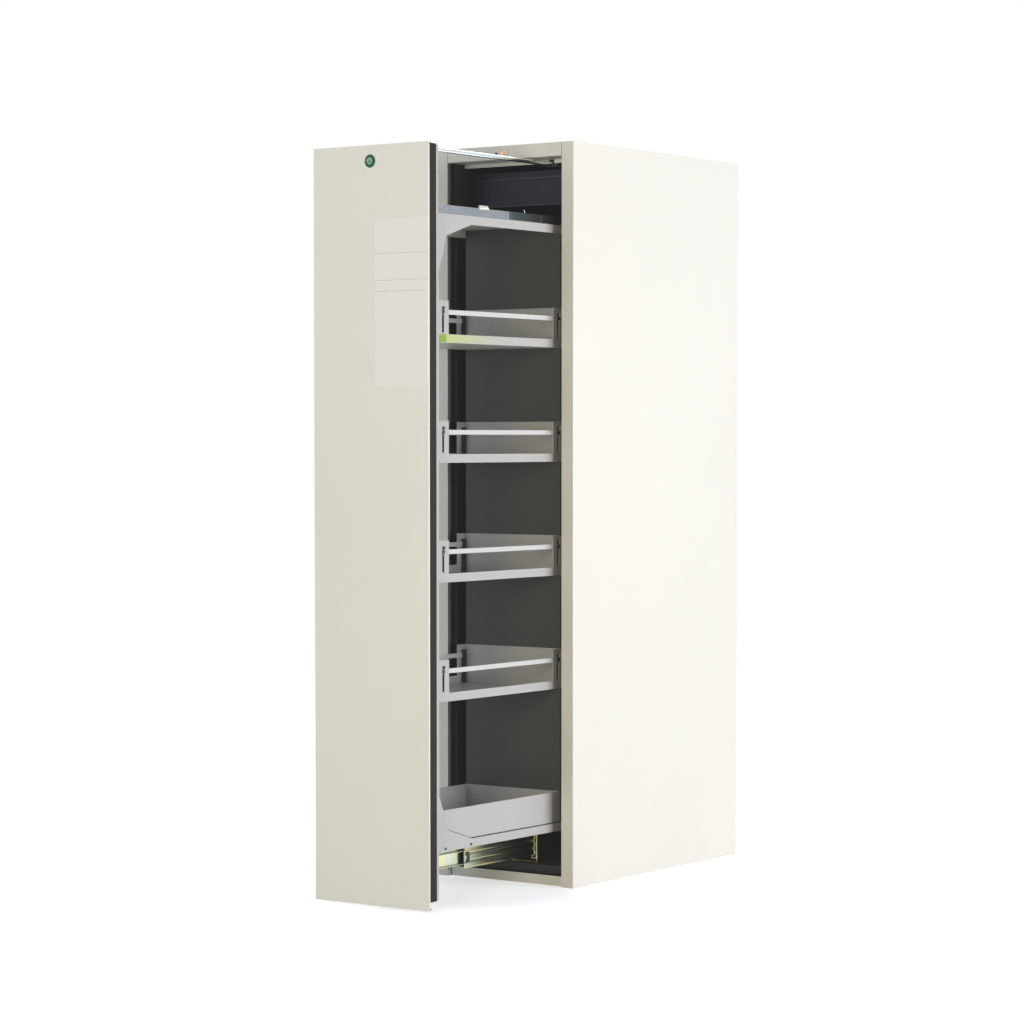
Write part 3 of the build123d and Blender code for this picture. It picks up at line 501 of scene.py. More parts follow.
FINISHES: dict[Slot, Finish] = {
    Slot.CASING: PaintFinish(CREAM, roughness=0.38, mottle=0.03, dust=0.06),
    # Far darker than the real light grey boards: painted shade for the cabinet's dark inside.
    Slot.BOARD: SoftFinish((0.034, 0.037, 0.033), roughness=0.50, stretch=(60.0, 60.0, 25.0),
                           contrast=0.25, dust=0.02, gloss=0.2),
    Slot.SEAL: SoftFinish((0.016, 0.013, 0.013), roughness=0.60, stretch=(900.0, 900.0, 8.0),
                          contrast=0.5, gloss=0.12),
    Slot.RUBBER: SoftFinish((0.022, 0.022, 0.023), roughness=0.7),
    Slot.DRAWER: PaintFinish(DRAWER_GREY, roughness=0.36, mottle=0.03, dust=0.12),
    Slot.RAIL: PaintFinish((0.61, 0.61, 0.60), roughness=0.34, mottle=0.02, dust=0.05),
    # Far darker than the rear panel's real light grey paint: painted shade.
    Slot.REAR: PaintFinish((0.066, 0.074, 0.066), roughness=0.45, mottle=0.05, gloss=0.2),
    Slot.HOUSING: PaintFinish((0.014, 0.016, 0.030), roughness=0.42, mottle=0.10, dust=0.02, gloss=0.2),
    Slot.ZINC: MetalFinish((0.74, 0.66, 0.34), (0.56, 0.68, 0.56), roughness=0.22, contrast=0.08, cloud=9.0),
    Slot.GALVANISED: MetalFinish((0.31, 0.34, 0.37), (0.35, 0.38, 0.41), roughness=0.26, contrast=0.04,
                                 cloud=60.0),
    Slot.BALL: MetalFinish((0.72, 0.72, 0.71), (0.78, 0.78, 0.78), roughness=0.20, contrast=0.15),
    Slot.BLACK: SoftFinish((0.018, 0.018, 0.019), roughness=0.5, contrast=0.2),
    Slot.LABEL: SoftFinish((0.825, 0.815, 0.765), roughness=0.5, contrast=0.04, bump=0.06, dust=0.0),
    Slot.GREEN: SoftFinish((0.006, 0.085, 0.040), roughness=0.18, contrast=0.5, bump=0.05, dust=0.0,
                           gloss=0.3),
    Slot.LOCK: MetalFinish((0.08, 0.24, 0.16), (0.34, 0.54, 0.43), roughness=0.2, cloud=200.0),
    Slot.CATCH: MetalFinish((0.80, 0.52, 0.36), (0.86, 0.66, 0.52), roughness=0.25, cloud=160.0),
}


class Palette:
    """One material for each slot, and the few that belong to a single piece."""

    def __init__(self) -> None:
        """Build every slot's material."""
        self.effects = Effects()
        self.slots = {slot: finish.build(slot.value, self.effects) for slot, finish in FINISHES.items()}

    def extra(self, name: str, finish: Finish) -> Material:
        """Build a material beyond the slots'."""
        return finish.build(name, self.effects)


def put(name: str, data: bpy.types.ID) -> bpy.types.Object:
    """Return a new object in the scene."""
    obj = bpy.data.objects.new(name, data)
    bpy.context.scene.collection.objects.link(obj)
    return obj


def mesh_of(name: str, shape: Shape, material: Material) -> Mesh:
    """Turn a shape into a mesh.

    Args:
        name: The mesh's name.
        shape: The shape, which is freed.
        material: The mesh's material.

    Returns:
        The mesh.
    """
    mesh = bpy.data.meshes.new(name)
    shape.to_mesh(mesh)
    shape.free()
    mesh.materials.append(material)
    return mesh


def plain_mesh(source: bpy.types.Object) -> Mesh:
    """Return the finished mesh of an object, which is removed."""
    graph = bpy.context.evaluated_depsgraph_get()
    mesh = bpy.data.meshes.new_from_object(source.evaluated_get(graph))
    bpy.data.objects.remove(source)
    return mesh


def round_edges(shape: Shape, edges: list[bmesh.types.BMEdge], radius: float, segments: int) -> None:
    """Round some edges of a shape.

    Args:
        shape: The shape.
        edges: The edges.
        radius: Their radius.
        segments: Flat strips across each.
    """
    bmesh.ops.bevel(shape, geom=edges, offset=radius, offset_type="OFFSET", segments=segments, profile=0.5,
                    affect="EDGES", clamp_overlap=True)


class Workshop:
    """Makes finished pieces out of meshes and seats them on the frame."""

    def __init__(self, palette: Palette) -> None:
        """Keep the palette, and note each node's body and slot."""
        self.palette = palette
        record = frame["record"]
        bodies = record["behaviour"]["bodies"]
        self.body_of_node = {node: body for body, nodes in bodies.items() for node in nodes}
        self.slot_of_node = {part["node"]: Slot(part["material_slot"]) for part in record["subparts"]}

    def seat(self, name: str, mesh: Mesh, body: str, slot: Slot,
             replaced: Sequence[str] = ()) -> None:
        """Ride a mesh on its body as a piece.

        Args:
            name: The piece's name.
            mesh: Its mesh, in place.
            body: The body's name.
            slot: Not used.
            replaced: Nodes that the piece stands for.
        """
        obj = put(name, mesh)
        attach(obj, body)
        if replaced:
            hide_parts(*replaced)
        log.info("piece %s on %s: %d faces", obj.name, body, len(obj.data.polygons))

    def piece(self, name: str, shape: Shape, body: Body, slot: Slot,
              finish: Finish | None = None, replaced: Sequence[str] = (), finish_name: str = "") -> None:
        """Turn a built shape into a seated piece.

        Args:
            name: The piece's name.
            shape: The shape, which is freed.
            body: The body that it rides on.
            slot: The slot whose finish it takes.
            finish: A finish of its own, or none for the slot's.
            replaced: Nodes that it stands for.
            finish_name: The name of its own finish.
        """
        material = self.palette.extra(finish_name, finish) if finish else self.palette.slots[slot]
        bmesh.ops.recalc_face_normals(shape, faces=shape.faces)
        self.seat(name, mesh_of(name, shape, material), body.value, slot, replaced)

    def soften(self, radius: float, *nodes: str, material: Material | None = None) -> None:
        """Replace nodes by copies with their folded and cut edges rounded.

        Args:
            radius: Radius of the rounded edges.
            nodes: The nodes to copy.
            material: A material of their own, or none for the slot's.
        """
        for node in nodes:
            shape = bmesh.new()
            shape.from_mesh(frame["nodes"][node].data)
            bmesh.ops.remove_doubles(shape, verts=shape.verts, dist=MERGE_REACH)
            bmesh.ops.dissolve_limit(shape, angle_limit=FLAT_ANGLE, verts=shape.verts, edges=shape.edges)
            sharp = [edge for edge in shape.edges if edge.is_manifold and edge.calc_face_angle() > FOLD_ANGLE]
            round_edges(shape, sharp, radius, FOLD_SEGMENTS)
            name, slot = f"{node}_dressed", self.slot_of_node[node]
            mesh = mesh_of(name, shape, material or self.palette.slots[slot])
            self.seat(name, mesh, self.body_of_node[node], slot, [node])

    def repaint(self, *nodes: str) -> None:
        """Give nodes that keep their own meshes their finish.

        Args:
            nodes: The nodes.
        """
        for node in nodes:
            obj, slot = frame["nodes"][node], self.slot_of_node[node]
            obj.data.materials.clear()
            obj.data.materials.append(self.palette.slots[slot])
            log.info("node %s keeps its mesh", node)


def add_block(shape: Shape, low: Sequence[float], high: Sequence[float],
              radius: float = 0.0) -> None:
    """Add a block with rounded edges to a shape.

    Args:
        shape: The shape to add to.
        low: Lowest corner.
        high: Highest corner.
        radius: Radius of its edges.
    """
    size = Vector(high) - Vector(low)
    centre = (Vector(high) + Vector(low)) / 2
    matrix = Matrix.Translation(centre) @ Matrix.Diagonal((*size, 1.0))
    made = bmesh.ops.create_cube(shape, size=1.0, matrix=matrix)
    if radius:
        edges = list({edge for vert in made["verts"] for edge in vert.link_edges})
        round_edges(shape, edges, radius, BLOCK_SEGMENTS)


def add_pair(shape: Shape, across: Span, depth: Span, height: Span, radius: float = 0.0) -> None:
    """Add a block on the right of a shape and its like on the left.

    Args:
        shape: The shape to add to.
        across: The x of the right block's two sides.
        depth: The y of its front and rear.
        height: The z of its foot and top.
        radius: Radius of its edges.
    """
    for side in SIDES:
        inner, outer = sorted(side * x for x in across)
        add_block(shape, (inner, depth[0], height[0]), (outer, depth[1], height[1]), radius)


def add_loft(shape: Shape, rings: Sequence[Sequence[Sequence[float]]], closed: bool = False) -> None:
    """Skin a row of rings in a shape.

    Args:
        shape: The shape to add to.
        rings: The points of each ring, as many in each.
        closed: Whether the last ring joins the first, instead of a face at each end.
    """
    rows = [[shape.verts.new(point) for point in ring] for ring in rings]
    pairs = list(zip(rows, rows[1:]))
    if closed:
        pairs.append((rows[-1], rows[0]))
    else:
        shape.faces.new(list(reversed(rows[0])))
        shape.faces.new(rows[-1])
    for row, after in pairs:
        for step in range(len(row)):
            following = (step + 1) % len(row)
            shape.faces.new((row[step], row[following], after[following], after[step]))


def add_prism(shape: Shape, section: Sequence[Span], start: float, end: float) -> None:
    """Add a straight bar along y to a shape, from the x and z of each corner of its section."""
    add_loft(shape, [[(x, y, z) for x, z in section] for y in (start, end)])


def add_turned(shape: Shape, profile: Sequence[Span], origin: Sequence[float], facing: Facing) -> None:
    """Add a turned form to a shape.

    Args:
        shape: The shape to add to.
        profile: Radius and height of each ring, from the first end to the last.
        origin: The place of height zero on its axis.
        facing: The direction of growing height.
    """
    turn = Vector(Facing.UP.value).rotation_difference(Vector(facing.value)).to_matrix().to_4x4()
    place = Matrix.Translation(Vector(origin)) @ turn
    angles = [2 * math.pi * step / TURN_STEPS for step in range(TURN_STEPS)]
    add_loft(shape, [[place @ Vector((radius * math.cos(angle), radius * math.sin(angle), height))
                      for angle in angles] for radius, height in profile])


@dataclass(frozen=True)
class Fastener:
    """Sizes of a screw or rivet head."""

    radius: float
    height: float
    crown_share: float
    socket_share: float
    socket_depth: float
    sides: int = 16


PAN_SCREW = Fastener(3.6 * MM, 1.8 * MM, 0.72, 0.55, 1.1 * MM)
SMALL_SCREW = Fastener(2.2 * MM, 0.9 * MM, 0.75, 0.60, 0.6 * MM)
RIVET = Fastener(2.6 * MM, 1.1 * MM, 0.55, 0.35, 0.3 * MM)
FLOOR_BOLT = Fastener(5.0 * MM, 3.4 * MM, 0.92, 0.60, 2.0 * MM)


class FastenerKit:
    """Screws and rivets, set out by a node tree and turned into plain meshes."""

    SIZES = ("Head Radius", "Crown Radius", "Head Height", "Socket Share", "Socket Depth")

    def __init__(self, workshop: Workshop) -> None:
        """Build the tree once."""
        self.workshop = workshop
        self.tree = self._tree()

    def _tree(self) -> Tree:
        """Make the tree that puts one head on each point of a mesh.

        Returns:
            The tree.
        """
        tree = bpy.data.node_groups.new("fastener_heads", "GeometryNodeTree")
        kinds = {"Places": "Geometry", **dict.fromkeys(self.SIZES, "Float"), "Sides": "Int",
                 "Material": "Material"}
        for name, kind in kinds.items():
            tree.interface.new_socket(name, in_out="INPUT", socket_type=f"NodeSocket{kind}")
        tree.interface.new_socket("Heads", in_out="OUTPUT", socket_type="NodeSocketGeometry")
        desk = NodeDesk(tree)
        given = desk.add("NodeGroupInput").outputs
        head = desk.add("GeometryNodeMeshCone", {
            "Vertices": given["Sides"], "Radius Top": given["Crown Radius"],
            "Radius Bottom": given["Head Radius"], "Depth": given["Head Height"]}, fill_type="NGON")
        rim = desk.add("GeometryNodeExtrudeMesh", {
            "Mesh": head.outputs["Mesh"], "Selection": head.outputs["Top"], "Offset Scale": 0.0,
            "Individual": False}, mode="FACES")
        socket = desk.add("GeometryNodeScaleElements", {
            "Geometry": rim.outputs["Mesh"], "Selection": rim.outputs["Top"], "Scale": given["Socket Share"]})
        down = desk.reckon("MULTIPLY", given["Socket Depth"], -1.0)
        sunk = desk.add("GeometryNodeExtrudeMesh", {
            "Mesh": socket.outputs[0], "Selection": rim.outputs["Top"], "Offset Scale": down,
            "Individual": False}, mode="FACES")
        facing = desk.add("GeometryNodeInputNamedAttribute", {"Name": "facing"}, data_type="FLOAT_VECTOR")
        turn = desk.add("FunctionNodeAlignRotationToVector", {"Vector": facing.outputs[0]}, axis="Z")
        heads = desk.add("GeometryNodeInstanceOnPoints", {
            "Points": given["Places"], "Instance": sunk.outputs["Mesh"], "Rotation": turn.outputs[0]})
        real = desk.add("GeometryNodeRealizeInstances", {"Geometry": heads.outputs[0]})
        dressed = desk.add("GeometryNodeSetMaterial", {
            "Geometry": real.outputs[0], "Material": given["Material"]})
        desk.add("NodeGroupOutput", {"Heads": dressed.outputs[0]})
        return tree

    def set_out(self, name: str, spec: Fastener, places: Sequence[tuple[Sequence[float], Facing]],
                body: Body, slot: Slot) -> None:
        """Put heads at places and seat them as one piece.

        Args:
            name: The piece's name.
            spec: The head's sizes.
            places: Each head's foot and the way it faces.
            body: The body that it rides on.
            slot: The slot whose finish it takes.
        """
        points = bpy.data.meshes.new(f"{name}_places")
        points.from_pydata([tuple(place) for place, _ in places], [], [])
        facing = points.attributes.new("facing", "FLOAT_VECTOR", "POINT")
        for item, (_, direction) in zip(facing.data, places):
            item.vector = direction.value
        source = put(points.name, points)
        modifier = source.modifiers.new("heads", "NODES")
        modifier.node_group = self.tree
        sizes = (spec.radius, spec.radius * spec.crown_share, spec.height, spec.socket_share,
                 spec.socket_depth)
        values = {**dict(zip(self.SIZES, sizes)), "Sides": spec.sides,
                  "Material": self.workshop.palette.slots[slot]}
        for item in self.tree.interface.items_tree:
            if item.in_out == "INPUT" and item.name in values:
                modifier[item.identifier] = values[item.name]
        self.workshop.seat(name, plain_mesh(source), body.value, slot)


@dataclass
class Assembly:
    """A sub-assembly, with the shop and the fasteners that it is made with."""

    workshop: Workshop
    fasteners: FastenerKit

    def build(self) -> None:
        """Build and dress the sub-assembly."""
        raise NotImplementedError


@dataclass
class Casing(Assembly):
    """The carcass: sheet panels, their screws, painted shade in its seams and on its reveals, painted
    highlights on the closer housing, and the catch.
    """

    panel_radius: float = 0.5 * MM
    thin_radius: float = 0.1 * MM
    screw_inset: float = 14.0 * MM
    roof_screws: int = 5
    back_screws: int = 7
    flange_inset: float = 6.5 * MM
    flange_thick: float = 2.0 * MM
    flange_screws: int = 4
    seam_width: float = 1.1 * MM
    seam_depth: Span = (-0.15 * MM, 0.5 * MM)
    seam_drop: float = 1.2 * MM
    pin_offset: float = 24.0 * MM
    pin_profile: tuple[Span, ...] = ((2.6 * MM, 0.0), (3.0 * MM, 0.6 * MM), (3.0 * MM, 2.2 * MM),
                                     (2.0 * MM, 3.2 * MM))
    return_setback: float = 80.0 * MM
    return_thick: float = 1.4 * MM
    return_drop: float = 10.0 * MM
    return_radius: float = 0.4 * MM
    bar_room: float = 2.5 * MM
    ledge_drop: float = 18.0 * MM
    # Sizes of the pale strips that paint the highlights on the closer housing's edges.
    highlight_width: float = 1.3 * MM
    bead_and_highlight_depth: Span = (-0.3 * MM, 0.6 * MM)
    highlight_radius: float = 0.2 * MM
    opening_half: float = 187.0 * MM
    reveal_reach: Span = (1.5 * MM, 13.5 * MM)
    sill_top: float = 26.0 * MM
    sill_reach: Span = (17.5 * MM, 47.5 * MM)
    overlay_thick: float = 0.5 * MM

    def build(self) -> None:
        """Build and dress the carcass."""
        self.workshop.soften(self.panel_radius, "left_side_panel", "right_side_panel", "top_panel",
                             "base_pan", "back_panel")
        self.workshop.repaint("top_fire_board", "floor_fire_board", "back_fire_board", "left_fire_board",
                              "right_fire_board")
        self.workshop.soften(self.panel_radius, "frame_seals", "closer_housing", "exhaust_duct")
        self.workshop.repaint("levelling_feet", "exhaust_spigot", "supply_spigot", "exhaust_damper",
                              "supply_damper", "bar_guide", "top_catch")
        self._screws()
        self._seam_shade()
        self._return_lip()
        self._reveal_shade_and_sill_strip()
        self._housing_highlights()
        self._catch_pins()

    def _return_lip(self) -> None:
        """Add the folded lip behind the top rail's underside, cut away for the guide bar."""
        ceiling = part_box("top_fire_board")[0].z
        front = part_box("top_panel")[0].y + self.return_setback
        half = abs(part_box("left_fire_board")[1].x)
        bar_low, bar_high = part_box("guide_bar")
        shape = bmesh.new()
        for start, end in ((-half, bar_low.x - self.bar_room), (bar_high.x + self.bar_room, half)):
            add_block(shape, (start, front, ceiling - self.return_drop),
                      (end, front + self.return_thick, ceiling), self.return_radius)
        self.workshop.piece("return_lip", shape, Body.CABINET, Slot.CASING)

    def _reveal_shade_and_sill_strip(self) -> None:
        """Add the thin olive sheets on the upright reveals, painted shade where the reveals lie in shadow,
        and the dark strip on top of the sill.
        """
        low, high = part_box("frame_seals")
        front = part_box("left_side_panel")[0].y
        inner = self.opening_half - self.overlay_thick
        shape = bmesh.new()
        add_pair(shape, (inner, self.opening_half), tuple(front + reach for reach in self.reveal_reach),
                 (low.z, high.z), self.thin_radius)
        self.workshop.piece("reveal_shade_sheets", shape, Body.CABINET, Slot.SEAL, REVEAL_SHADE_OLIVE,
                            finish_name="reveal_painted_shade")
        start, end = self.sill_reach
        strip = bmesh.new()
        add_block(strip, (-inner, front + start, self.sill_top),
                  (inner, front + end, self.sill_top + self.overlay_thick), self.thin_radius)
        self.workshop.piece("sill_strip", strip, Body.CABINET, Slot.SEAL)

    def _housing_highlights(self) -> None:
        """Add the pale strips along the closer housing's front ledge and lower edge, painted highlights where
        those edges catch the light.
        """
        low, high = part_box("closer_housing")
        start, end = (low.y + depth for depth in self.bead_and_highlight_depth)
        shape = bmesh.new()
        for z in (high.z - self.ledge_drop, low.z + self.highlight_width):
            add_block(shape, (low.x + self.highlight_width, start, z - self.highlight_width), (high.x - self.highlight_width, end, z),
                      self.highlight_radius)
        self.workshop.piece("housing_highlight_strips", shape, Body.CABINET, Slot.HOUSING, HOUSING_HIGHLIGHT,
                            finish_name="housing_painted_highlight")

    def _screws(self) -> None:
        """Set out the roof, back and spigot screws."""
        places = []
        low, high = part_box("back_panel")
        for side in SIDES:
            for z in spread(low.z, high.z, self.back_screws):
                places.append(((side * (high.x - self.screw_inset), high.y, z), Facing.BACK))
        low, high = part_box("top_panel")
        for side in SIDES:
            for y in spread(low.y, high.y, self.roof_screws):
                places.append(((side * (high.x - self.screw_inset), y, high.z), Facing.UP))
        self.fasteners.set_out("casing_screws", PAN_SCREW, places, Body.CABINET, Slot.GALVANISED)
        level = high.z + self.flange_thick
        places = []
        for node in ("exhaust_spigot", "supply_spigot"):
            low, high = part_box(node)
            centre = (low + high) / 2
            reach = (high.x - low.x) / 2 - self.flange_inset
            for angle in spread(0.0, 2 * math.pi, self.flange_screws):
                x, y = centre.x + reach * math.cos(angle), centre.y + reach * math.sin(angle)
                places.append(((x, y, level), Facing.UP))
        self.fasteners.set_out("spigot_screws", SMALL_SCREW, places, Body.CABINET, Slot.GALVANISED)

    def _seam_shade(self) -> None:
        """Add dark strips in the joints between the top rail and the posts, painted shade in the gaps."""
        low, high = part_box("top_panel")
        x = abs(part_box("left_side_panel")[1].x)
        shape = bmesh.new()
        add_pair(shape, (x - self.seam_width / 2, x + self.seam_width / 2),
                 tuple(low.y + depth for depth in self.seam_depth),
                 (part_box("frame_seals")[1].z, high.z - self.seam_drop), self.thin_radius)
        self.workshop.piece("post_seam_shade", shape, Body.CABINET, Slot.SEAL)

    def _catch_pins(self) -> None:
        """Add the two small pins beside the catch."""
        low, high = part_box("top_catch")
        centre = (low + high) / 2
        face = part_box("top_panel")[0].y
        for name, side, slot in (("catch_pin_dark", -1, Slot.BLACK), ("catch_pin_pale", 1, Slot.LABEL)):
            shape = bmesh.new()
            origin = (centre.x + side * self.pin_offset, face, centre.z)
            add_turned(shape, self.pin_profile, origin, Facing.FRONT)
            self.workshop.piece(name, shape, Body.CABINET, slot)


@dataclass
class Door(Assembly):
    """The drawer's front: skin, seal, lock and the bare label sheet."""

    edge_radius: float = 0.6 * MM
    corner: float = 5.0 * MM
    corner_steps: int = 6
    rule_shares: tuple[float, ...] = (0.208, 0.369, 0.435)
    rule_height: float = 0.9 * MM
    rule_inset: float = 1.0 * MM
    rule_depth: Span = (-0.12 * MM, 0.1 * MM)
    rule_radius: float = 0.04 * MM
    disc_steps: int = 48
    disc_rim: tuple[Span, ...] = ((0.0, 0.0), (0.0, 0.55), (0.6 * MM, 0.92), (1.6 * MM, 1.0), (2.8 * MM, 0.9),
                                  (3.4 * MM, 0.6))
    disc_well: tuple[Span, ...] = ((1.2 * MM, 0.6), (0.5 * MM, 0.9), (0.0, 0.95))
    bore_room: float = 0.25 * MM
    lip_screws: tuple[float, ...] = (5.0 * MM, 39.0 * MM)
    lip_depth: float = 5.5 * MM
    gasket_inset: float = 0.3 * MM
    gasket_width: float = 7.0 * MM
    gasket_across: Span = (-0.1 * MM, 0.5 * MM)
    gasket_radius: float = 0.15 * MM

    def build(self) -> None:
        """Build and dress the door."""
        self.workshop.soften(self.edge_radius, "door_skin", "door_seal", "door_inner_pan")
        self.workshop.repaint("door_fire_board", "lock_case", "lock_cylinder", "lock_bolt")
        self._label()
        self._rosette()
        self._lip_screws()
        self._gaskets()

    def _gaskets(self) -> None:
        """Add the dark gaskets along the rear of the door's upright edges."""
        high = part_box("door_skin")[1]
        seal_low, seal_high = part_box("door_seal")
        rear = high.y - self.gasket_inset
        shape = bmesh.new()
        across = tuple(high.x + reach for reach in self.gasket_across)
        add_pair(shape, across, (rear - self.gasket_width, rear), (seal_low.z, seal_high.z),
                 self.gasket_radius)
        self.workshop.piece("door_gaskets", shape, Body.DRAWER, Slot.SEAL)

    def _label(self) -> None:
        """Build the bare label sheet with its fine rules."""
        low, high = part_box("door_label")
        outline = []
        for x, z, quarter in ((high.x, high.z, 0), (low.x, high.z, 1), (low.x, low.z, 2), (high.x, low.z, 3)):
            centre_x = x - self.corner if x == high.x else x + self.corner
            centre_z = z - self.corner if z == high.z else z + self.corner
            for step in range(self.corner_steps + 1):
                angle = math.pi / 2 * (quarter + step / self.corner_steps)
                outline.append((centre_x + self.corner * math.cos(angle),
                                centre_z + self.corner * math.sin(angle)))
        shape = bmesh.new()
        add_prism(shape, outline, low.y, high.y)
        self.workshop.piece("label_sheet_plain", shape, Body.DRAWER, Slot.LABEL, replaced=["door_label"])
        front, rear = (low.y + depth for depth in self.rule_depth)
        rules = bmesh.new()
        for share in self.rule_shares:
            z = high.z - (high.z - low.z) * share
            add_block(rules, (low.x + self.rule_inset, front, z - self.rule_height / 2),
                      (high.x - self.rule_inset, rear, z + self.rule_height / 2), self.rule_radius)
        self.workshop.piece("label_rules", rules, Body.DRAWER, Slot.LABEL, RULE_GREY,
                            finish_name="label_rule")

    def _rosette(self) -> None:
        """Build the lock's round disc with a rolled rim and a dished face."""
        low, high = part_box("lock_rosette")
        centre = (low + high) / 2
        radius = (high.x - low.x) / 2
        lock_low, lock_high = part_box("lock_cylinder")
        bore = (lock_high.z - lock_low.z) / 2 + self.bore_room
        proud = high.y - low.y
        profile = [(bore, 0.0)]
        profile += [(radius - inset, proud * share) for inset, share in self.disc_rim]
        profile += [(bore + outset, proud * share) for outset, share in self.disc_well]
        rings = []
        for step in range(self.disc_steps):
            angle = 2 * math.pi * step / self.disc_steps
            across, up = math.cos(angle), math.sin(angle)
            rings.append([(centre.x + reach * across, high.y - rise, centre.z + reach * up)
                          for reach, rise in profile])
        shape = bmesh.new()
        add_loft(shape, rings, closed=True)
        self.workshop.piece("lock_rosette_turned", shape, Body.DRAWER, Slot.GREEN, replaced=["lock_rosette"])

    def _lip_screws(self) -> None:
        """Set out the small dark screws in the skin's side lips."""
        low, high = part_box("door_skin")
        places = []
        for side in SIDES:
            x = high.x if side > 0 else low.x
            for drop in self.lip_screws:
                for z in (high.z - drop, low.z + drop):
                    places.append(((x, low.y + self.lip_depth, z), side_facing(side)))
        self.fasteners.set_out("door_lip_screws", SMALL_SCREW, places, Body.DRAWER, Slot.BLACK)


@dataclass
class Drawer(Assembly):
    """The drawer's frame, shelves, sump tray and guard rails."""

    sheet_radius: float = 0.45 * MM
    rail_radius: float = 0.7 * MM
    bar_radius: float = 2.6 * MM
    shelf_count: int = 4
    beam_screws: tuple[float, ...] = (59.0 * MM, 168.0 * MM)
    beam_screw_rise: float = 7.5 * MM
    rivet_levels: tuple[float, ...] = (14.0 * MM, 94.0 * MM)
    rivet_inset: float = 5.5 * MM
    strip_run: Span = (6.5 * MM, 268.0 * MM)
    strip_across: Span = (-0.05 * MM, 0.2 * MM)
    strip_rise: Span = (1.2 * MM, 20.8 * MM)
    strip_radius: float = 0.08 * MM
    strip_block: float = 0.105
    # Sizes of the dark strips that paint the shade along the sump tray's foot.
    tray_shade_start: float = 137.0 * MM
    tray_shade_height: float = 2.6 * MM
    tray_shade_room: float = 0.4 * MM
    tray_shade_radius: float = 0.3 * MM
    corner_edge: tuple[Span, Span] = ((-881.0 * MM, 200.0 * MM), (-776.0 * MM, 167.6 * MM))
    corner_shade_line: float = 1.8 * MM
    corner_room: float = 0.3 * MM
    pin_inset: float = 8.0 * MM
    cap_radius: float = 5.4 * MM
    cap_lap: float = 1.3 * MM
    cap_crown: Span = (0.8, 1.4)
    # Sizes of the dark plates that paint the shade seen through the slots.
    slot_shade_across: Span = (152.5 * MM, 152.75 * MM)
    slot_shade_height: Span = (-75.4 * MM, 14.5 * MM)
    slot_shade_run: Span = (-6.0 * MM, 12.0 * MM)
    # Sizes of the dark plates on the top rails, which are painted shade and painted dark reflection.
    shade_plate_start: float = 338.0 * MM
    shade_plate_fade: float = 130.0 * MM
    shade_plate_edge_share: float = 0.10
    shade_plate_gloss: float = 0.15
    shade_plate_thick: float = 0.6 * MM
    shade_plate_radius: float = 0.2 * MM
    shade_plate_margin: float = 1.5 * MM
    stop_start: float = 478.0 * MM
    stop_width: float = 3.0 * MM
    stop_thick: float = 1.2 * MM
    stop_radius: float = 0.3 * MM
    clip_run: Span = (207.0 * MM, 247.0 * MM)
    clip_across: Span = (-6.0 * MM, 0.9 * MM)
    clip_height: Span = (-2.0 * MM, 2.6 * MM)
    clip_radius: float = 0.5 * MM
    rib_count: int = 6
    rib_start: float = 2.5 * MM
    rib_pitch: float = 6.2 * MM
    rib_width: float = 3.2 * MM
    rib_across: Span = (-5.4 * MM, 0.5 * MM)
    rib_height: Span = (2.0 * MM, 8.0 * MM)
    hook_start: float = 409.0 * MM
    hook_inset: float = 2.55 * MM
    hook_wire: float = 0.9 * MM
    hook_path: tuple[Span, ...] = ((0.0, -8.0), (0.0, 2.0), (0.0, 6.0), (2.0, 8.5), (5.0, 7.5), (5.5, 5.0))

    def build(self) -> None:
        """Build and dress the drawer."""
        shelves = [f"shelf_{number}" for number in range(1, self.shelf_count + 1)]
        self.workshop.soften(self.sheet_radius, "front_column", "rear_panel", "top_beam", "bottom_beam",
                             "bottom_tray", "top_rail_left", "top_rail_right", *shelves)
        for shelf in shelves:
            rails = [f"guard_rail_{shelf[-1]}_{name}" for name in SIDE_NAMES]
            self.workshop.soften(self.rail_radius, *rails)
            self._pin_caps(rails)
            self._slot_shade_plates(shelf, rails[-1])
        polished = self.workshop.palette.extra("polished_bar", POLISHED_STEEL)
        self.workshop.soften(self.bar_radius, "guide_bar", material=polished)
        self._beam_screws()
        self._rivets(shelves)
        self._strip(shelves[-1])
        self._tray_and_corner_shade()
        self._rail_shade_plates()
        self._clip()
        self._hook()

    def _pin_caps(self, rails: Sequence[str]) -> None:
        """Add the dark caps on the heads of the pins that carry a shelf's guard rails.

        Args:
            rails: The left and the right rail.
        """
        radius_share, lap_share = self.cap_crown
        profile = ((self.cap_radius, 0.0), (self.cap_radius, self.cap_lap),
                   (self.cap_radius * radius_share, self.cap_lap * lap_share))
        for side, rail in zip(SIDES, rails):
            low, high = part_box(rail)
            face = (high.x if side > 0 else low.x) - side * self.cap_lap
            shape = bmesh.new()
            for y in (low.y + self.pin_inset, high.y - self.pin_inset):
                add_turned(shape, profile, (face, y, (low.z + high.z) / 2), side_facing(side))
            self.workshop.piece(f"{rail}_caps", shape, Body(rail), Slot.BLACK)

    def _slot_shade_plates(self, shelf: str, rail: str) -> None:
        """Stand dark plates behind the slots of a shelf's end plates, inside the guard rails, as painted
        shade seen through the slots.

        Args:
            shelf: The shelf.
            rail: One of its guard rails.
        """
        low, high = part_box(rail)
        height = tuple((low.z + high.z) / 2 + reach for reach in self.slot_shade_height)
        shape = bmesh.new()
        for y in (low.y + self.pin_inset, high.y - self.pin_inset):
            add_pair(shape, self.slot_shade_across, tuple(y + reach for reach in self.slot_shade_run), height)
        self.workshop.piece(f"{shelf}_slot_shade_plates", shape, Body.DRAWER, Slot.BLACK)

